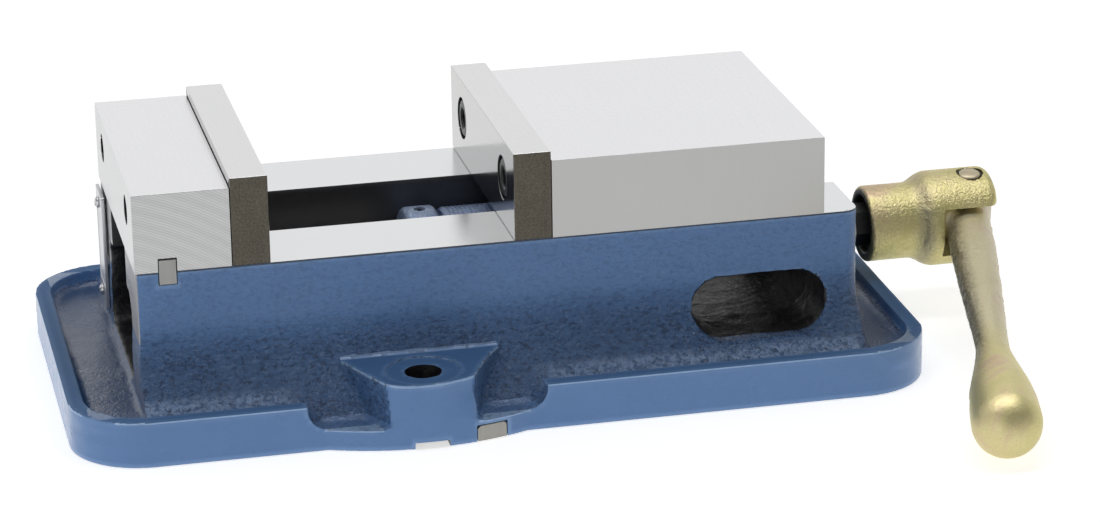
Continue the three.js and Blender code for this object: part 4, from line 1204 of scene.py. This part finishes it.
place(ring("race_inner", 13.1, 20, 156.3, 158.3), "steel", "spindle", "thrust_washer_inner")
place(ring("race_outer", 13.1, 20, 161.3, 163.7), "steel", "bed", "thrust_washer_outer")
cage = ring("needle_cage", 13.1, 19.5, 158.6, 161.0, 0.2)
pockets = []
for i in range(24):
    p = block("c", (157, -0.55, 14.2), (163, 0.55, 18.6))
    p.data.transform(Matrix.Translation((0, 0, AXIS_Z * MM)) @ Matrix.Rotation(math.radians(15 * i), 4, "X"))
    pockets.append(p)
joined = pockets[0]
bm = bmesh.new()
for p in pockets:
    bm.from_mesh(p.data)
bm.to_mesh(joined.data)
bm.free()
for p in pockets[1:]:
    bpy.data.objects.remove(p)
boolean(cage, [joined])
place(smooth(cage, 30), "bronze", "spindle", "thrust_bearing_cage")
place(smooth(lathe("lip_seal", [(13.1, 164.7), (13.5, 164.4), (15.2, 164.4), (15.6, 164.8), (15.6, 166.3), (15.2, 166.7), (14.2, 166.7), (13.9, 165.9), (13.4, 166.5), (13.1, 166.3)], 64), 30), "rubber", "bed", "screw_seal")

bush = lathe("bush_flange", [(13.1, 167.4), (13.5, 167), (15.3, 167), (15.65, 167.4), (15.65, 181.8), (23.6, 181.8), (24, 182.2), (24, 185.0), (23.2, 186), (13.6, 186), (13.1, 185.5)], 96)
cut = []
for a in (90, 210, 330):
    t = math.radians(a)
    cut.append(lathe("c", [(0, 183), (1.6, 183), (1.6, 185.2), (2.6, 186.2), (0, 186.2)], 24, "x", (0, 19.3 * math.cos(t), AXIS_Z + 19.3 * math.sin(t))))
boolean(bush, cut)
place(smooth(bush, 30), "black", "bed", "bearing_retainer")

lock = lathe("adjusting_collar", [(13.0, 186.9), (13.3, 186.6), (17, 186.6), (18, 187.6), (18, 195), (17, 196), (13.4, 196), (13.0, 195.6)], 96)
boolean(lock, [cyl_z(2.5, AXIS_Z + 12, AXIS_Z + 20, 191.3, 0, 32)])
place(smooth(lock, 30), "black", "spindle", "lock_collar")
g = lathe("collar_grub", [(0, AXIS_Z + 13.0), (1.6, AXIS_Z + 13.0), (2.1, AXIS_Z + 13.5), (2.1, AXIS_Z + 17.2), (1.7, AXIS_Z + 17.6), (0, AXIS_Z + 17.6)], 32, "z", (191.3, 0, 0))
boolean(g, [prism("c", [(191.3 + 1.25 * math.cos(math.radians(60 * i)), 1.25 * math.sin(math.radians(60 * i))) for i in range(6)], AXIS_Z + 15.6, AXIS_Z + 19, "z")])
place(smooth(g, 30), "steel", "spindle", "lock_collar_screw")

# ------------------------------------------------------------------ crank
CRANK = Matrix.Translation(Vector((PIN_X, 0, AXIS_Z)) * MM) @ Matrix.Rotation(TILT, 4, "X")


def hexagon(u, v, af):
    d = np.abs(u) * 0
    for a in (0, 60, 120):
        t = math.radians(a + 30)
        d = np.maximum(d, np.abs(u * math.cos(t) + v * math.sin(t))) if a else np.abs(u * math.cos(t) + v * math.sin(t))
    return d - af / 2


def hub(x, y, z):
    r = np.hypot(y, z)
    barrel = inter(r - 19.5, slab(x, -56.5, 0), 1.8)
    cone = (r - 24.5 - (x + 25.0)) * 0.7071
    head = inter(inter(r - 24.5, cone, 3.0), -(x + 34), 0)
    head = inter(head, x - 11.7, 5.5)
    d = uni(barrel, head, 3.0)
    ear = np.where((x > -3.3) & (np.abs(y) > 10), np.hypot(np.maximum(x + 3.3, 0), np.maximum(np.abs(y) - 10, 0)) - 15, x - 11.7)
    d = inter(d, ear, 2.2)
    d = sub(d, inter(slab(z, -11.6, 14.0), -(x + 19), 1.5), 0.8)
    hole = np.hypot(x, y)
    d = sub(d, hole - 5.9, 0.3)
    d = sub(d, np.maximum(hole - 6.9, 22.9 - np.abs(z)), 0.5)
    d = sub(d, inter(r - 14.6, x + 52, 0.3), 1.4)
    d = sub(d, inter(hexagon(y, z, 19.75), slab(x, -60, -21), 0.2), 0.4)
    return d


def hub_rough(p, g):
    x, y, z = p.T
    r = np.hypot(y, z)
    outer = np.clip((r - 17.5) / 1.5, 0, 1) * np.where((z > -11.9) & (z < 14.3) & (x > -19.5), 0, 1)
    outer *= np.clip((np.hypot(x, y) - 7.2) / 1.2, 0, 1)
    flare = np.exp(-((x + 28.5) / 3.6) ** 2)
    n1 = lattice_noise(p, 2.0, 77, 2)
    n2 = lattice_noise(p, 6.0, 91, 2)
    return outer * ((0.035 + 0.15 * flare) * n1 + (0.03 + 0.09 * flare) * n2)


hub_obj = field_piece("crank_handle_hub", hub, (-60, -26, -26), (17, 26, 26), 0.8, angle=40, budget=110000, transform=CRANK, rough=hub_rough)
inv = CRANK.inverted()
co, no = points_of(hub_obj)
L = np.array(inv) @ np.concatenate([co * MM, np.ones((len(co), 1))], 1).T
L = L[:3].T / MM
flare = np.exp(-((L[:, 0] + 28.0) / 4.2) ** 2)
point_attribute(hub_obj, "grey", np.clip(flare * 0.60 + 0.08, 0, 1))


def hub_faces(c, n):
    l = (np.array(inv) @ np.concatenate([c * MM, np.ones((len(c), 1))], 1).T)[:3].T / MM
    r = np.hypot(l[:, 1], l[:, 2])
    m = np.zeros(len(c), int)
    # index 1: painted shade in the hub's mouth, its bore and the pin hole
    m[(l[:, 0] < -54.9) & (r < 17.9)] = 1
    m[(r < 15.2) & (l[:, 0] < -20)] = 1
    m[(np.hypot(l[:, 0], l[:, 1]) < 6.95) & (np.abs(l[:, 2]) < 24.0)] = 1
    return m
place(hub_obj, ["zinc_hub", "zinc_bore_shade"], "handle_hub", "crank_hub", hub_faces)

pin = lathe("crank_pin", [(0, -24.2), (4.6, -24.2), (5.2, -23.9), (5.6, -23.3), (5.6, 23.3), (5.2, 23.9), (4.6, 24.2), (0, 24.2)], 64, "z", (0, 0, 0))
pin.data.transform(CRANK)
place(smooth(pin, 30), "pin", "handle_hub", "crank_pivot_pin")

ARM_L = np.array([0, 6, 26, 45, 69, 106, 141, 150, 160, 173, 188, 202, 213], float)
ARM_W = np.array([11.3, 11.25, 11.2, 11.05, 10.4, 9.1, 7.8, 8.6, 10.1, 12.5, 15.1, 16.5, 16.8])


def smooth_curve(l, xs, ys):
    """Monotone cubic through the points, so the shank has no corners."""
    h = np.diff(xs)
    s = np.diff(ys) / h
    m = np.zeros(len(xs))
    m[1:-1] = np.where(s[:-1] * s[1:] > 0, 2 * s[:-1] * s[1:] / (s[:-1] + s[1:] + 1e-12), 0)
    m[0], m[-1] = s[0], 0
    i = np.clip(np.searchsorted(xs, l) - 1, 0, len(h) - 1)
    t = np.clip((l - xs[i]) / h[i], 0, 1)
    return ((2 * t ** 3 - 3 * t ** 2 + 1) * ys[i] + (t ** 3 - 2 * t ** 2 + t) * h[i] * m[i]
            + (-2 * t ** 3 + 3 * t ** 2) * ys[i + 1] + (t ** 3 - t ** 2) * h[i] * m[i + 1])


def arm(x, y, z):
    l = -y
    w = smooth_curve(np.clip(l, 0, 213), ARM_L, ARM_W)
    k = np.clip((l - 40) / 110, 0, 1)
    k = k * k * (3 - 2 * k)
    t = w * (0.98 + 0.02 * k)
    p = 2.45 - 0.45 * k
    q = ((np.abs(x) / w) ** p + (np.abs(z) / t) ** p) ** (1 / p)
    side = (q - 1) * t
    ball = np.hypot(np.hypot(x, z), l - 213) - 16.8
    body = np.where(l > 213, ball, side)
    body = np.maximum(body, -l)
    seam = np.maximum(np.maximum(np.abs(z) - 0.9, np.abs(x) - w - 0.15 + 0.5 * np.clip((48 - l) / 24, 0, 1)), np.maximum(-(l - 22), l - 190))
    body = uni(body, seam, 0.9)
    eye = inter(np.hypot(x, y) - 12.6, slab(z, -11.2, 13.6), 1.0)
    d = uni(body, eye, 2.0)
    d = np.maximum(d, np.where(l < 24, slab(z, -11.2, 13.6), -1e3))
    d = sub(d, np.hypot(x, y) - 6.0, 0.5)
    return d


def arm_rough(p, g):
    l = -p[:, 1]
    flank = np.clip(np.abs(g[:, 0]) * 1.5 - 0.55, 0, 1) * np.clip((150 - l) / 60, 0, 1) * np.clip((l - 13) / 8, 0, 1)
    n1 = lattice_noise(p, 2.3, 51, 2)
    n2 = lattice_noise(p, 7.0, 63, 2)
    top = np.clip((l - 13) / 8, 0, 1) * (0.03 + 0.05 * np.clip((140 - l) / 60, 0, 1))
    return (top + 0.26 * flank) * n1 + (0.5 * top + 0.14 * flank) * n2


SWUNG = CRANK @ Matrix.Rotation(SWING, 4, "Z")
arm_obj = field_piece("crank_handle_arm", arm, (-20, -234, -20), (20, 15, 20), 0.85, angle=48, budget=120000, transform=SWUNG, rough=arm_rough)
co, no = points_of(arm_obj)
L = (np.array(SWUNG.inverted()) @ np.concatenate([co * MM, np.ones((len(co), 1))], 1).T)[:3].T / MM
N = no @ np.array(SWUNG.to_3x3())
flank = np.clip(np.abs(N[:, 0]) * 1.5 - 0.5, 0, 1) * np.clip((155 + L[:, 1]) / 50, 0, 1)
shaft = np.clip((165 + L[:, 1]) / 40, 0, 1)
point_attribute(arm_obj, "grey", np.clip(0.05 + 0.60 * shaft + 0.2 * flank, 0, 1))
along_arm = -L[:, 1]
shade = np.clip(-N[:, 0] * 1.7 - 0.35, 0, 1) * np.clip((200 - along_arm) / 60, 0, 1) * np.clip((along_arm - 12) / 10, 0, 1)
point_attribute(arm_obj, "shade", shade)
place(arm_obj, "zinc_arm", "handle_arm", "crank_arm")

# ------------------------------------------------------------------ floor and light
bm = bmesh.new()
bmesh.ops.create_grid(bm, x_segments=4, y_segments=4, size=3.0)
for v in bm.verts:
    v.co.z = -0.0002
me = bpy.data.meshes.new("floor")
bm.to_mesh(me)
bm.free()
floor = link(bpy.data.objects.new("floor", me))
fs = Shader("floor")
fs_base = fs.mix(fs.noise(3, 2), (0.90, 0.90, 0.90), (0.93, 0.93, 0.93))
floor.data.materials.append(fs.done(fs_base, 0.9, 0.0, None, Emission_Color=(1, 1, 1, 1), Emission_Strength=0.62, Specular_IOR_Level=0.1))

world = bpy.data.worlds.new("world")
bpy.context.scene.world = world
world.use_nodes = True
wt = world.node_tree
wt.nodes.clear()
w_out = wt.nodes.new("ShaderNodeOutputWorld")
w_bg = wt.nodes.new("ShaderNodeBackground")
w_co = wt.nodes.new("ShaderNodeTexCoord")
w_xyz = wt.nodes.new("ShaderNodeSeparateXYZ")
wt.links.new(w_co.outputs["Generated"], w_xyz.inputs[0])


def sky(stops):
    """Brightness against height above the horizon."""
    n = wt.nodes.new("ShaderNodeValToRGB")
    wt.links.new(w_xyz.outputs[2], n.inputs["Fac"])
    e = n.color_ramp.elements
    while len(e) < len(stops):
        e.new(0.5)
    for el, (deg, v) in zip(e, stops):
        el.position = max(0.0, math.sin(math.radians(deg)))
        el.color = (v, v, v, 1)
    return n.outputs["Color"]


# a lit cove behind the bench, a dimmer room in front of it
behind = sky([(0, 1.0), (26, 0.98), (38, 0.5), (58, 0.16), (90, 0.12)])
before = sky([(0, 0.50), (12, 0.34), (30, 0.20), (58, 0.12), (90, 0.12)])
w_side = wt.nodes.new("ShaderNodeMapRange")
wt.links.new(w_xyz.outputs[1], w_side.inputs["Value"])
w_side.inputs["From Min"].default_value = -0.25
w_side.inputs["From Max"].default_value = 0.25
w_mix = wt.nodes.new("ShaderNodeMix")
w_mix.data_type = "RGBA"
wt.links.new(w_side.outputs["Result"], w_mix.inputs[0])
wt.links.new(before, w_mix.inputs[6])
wt.links.new(behind, w_mix.inputs[7])
wt.links.new(w_mix.outputs[2], w_bg.inputs["Color"])
w_bg.inputs["Strength"].default_value = 1.0
wt.links.new(w_bg.outputs[0], w_out.inputs["Surface"])


def area(name, at, look, size, watts, size_y=None, tint=(1, 1, 1)):
    d = bpy.data.lights.new(name, "AREA")
    d.energy = watts
    d.color = tint
    d.size = size
    if size_y:
        d.shape = "RECTANGLE"
        d.size_y = size_y
    o = link(bpy.data.objects.new(name, d))
    o.location = at
    o.rotation_euler = (Vector(look) - Vector(at)).to_track_quat("-Z", "Y").to_euler()
    return o


area("overhead_strip", (0.0, -0.12, 1.4), (0, -0.08, 0), 1.5, 4.2, 0.30)
gloss = area("overhead_card", (0.05, 0.06, 1.31), (0.05, 0.06, 0), 1.7, 12, 1.0)
gloss.visible_diffuse = False
area("front_left", (-1.5, -1.5, 0.55), (0, 0, 0.05), 0.9, 5, 0.6)

bpy.context.scene.view_settings.view_transform = "Standard"
bpy.context.scene.view_settings.look = "None"
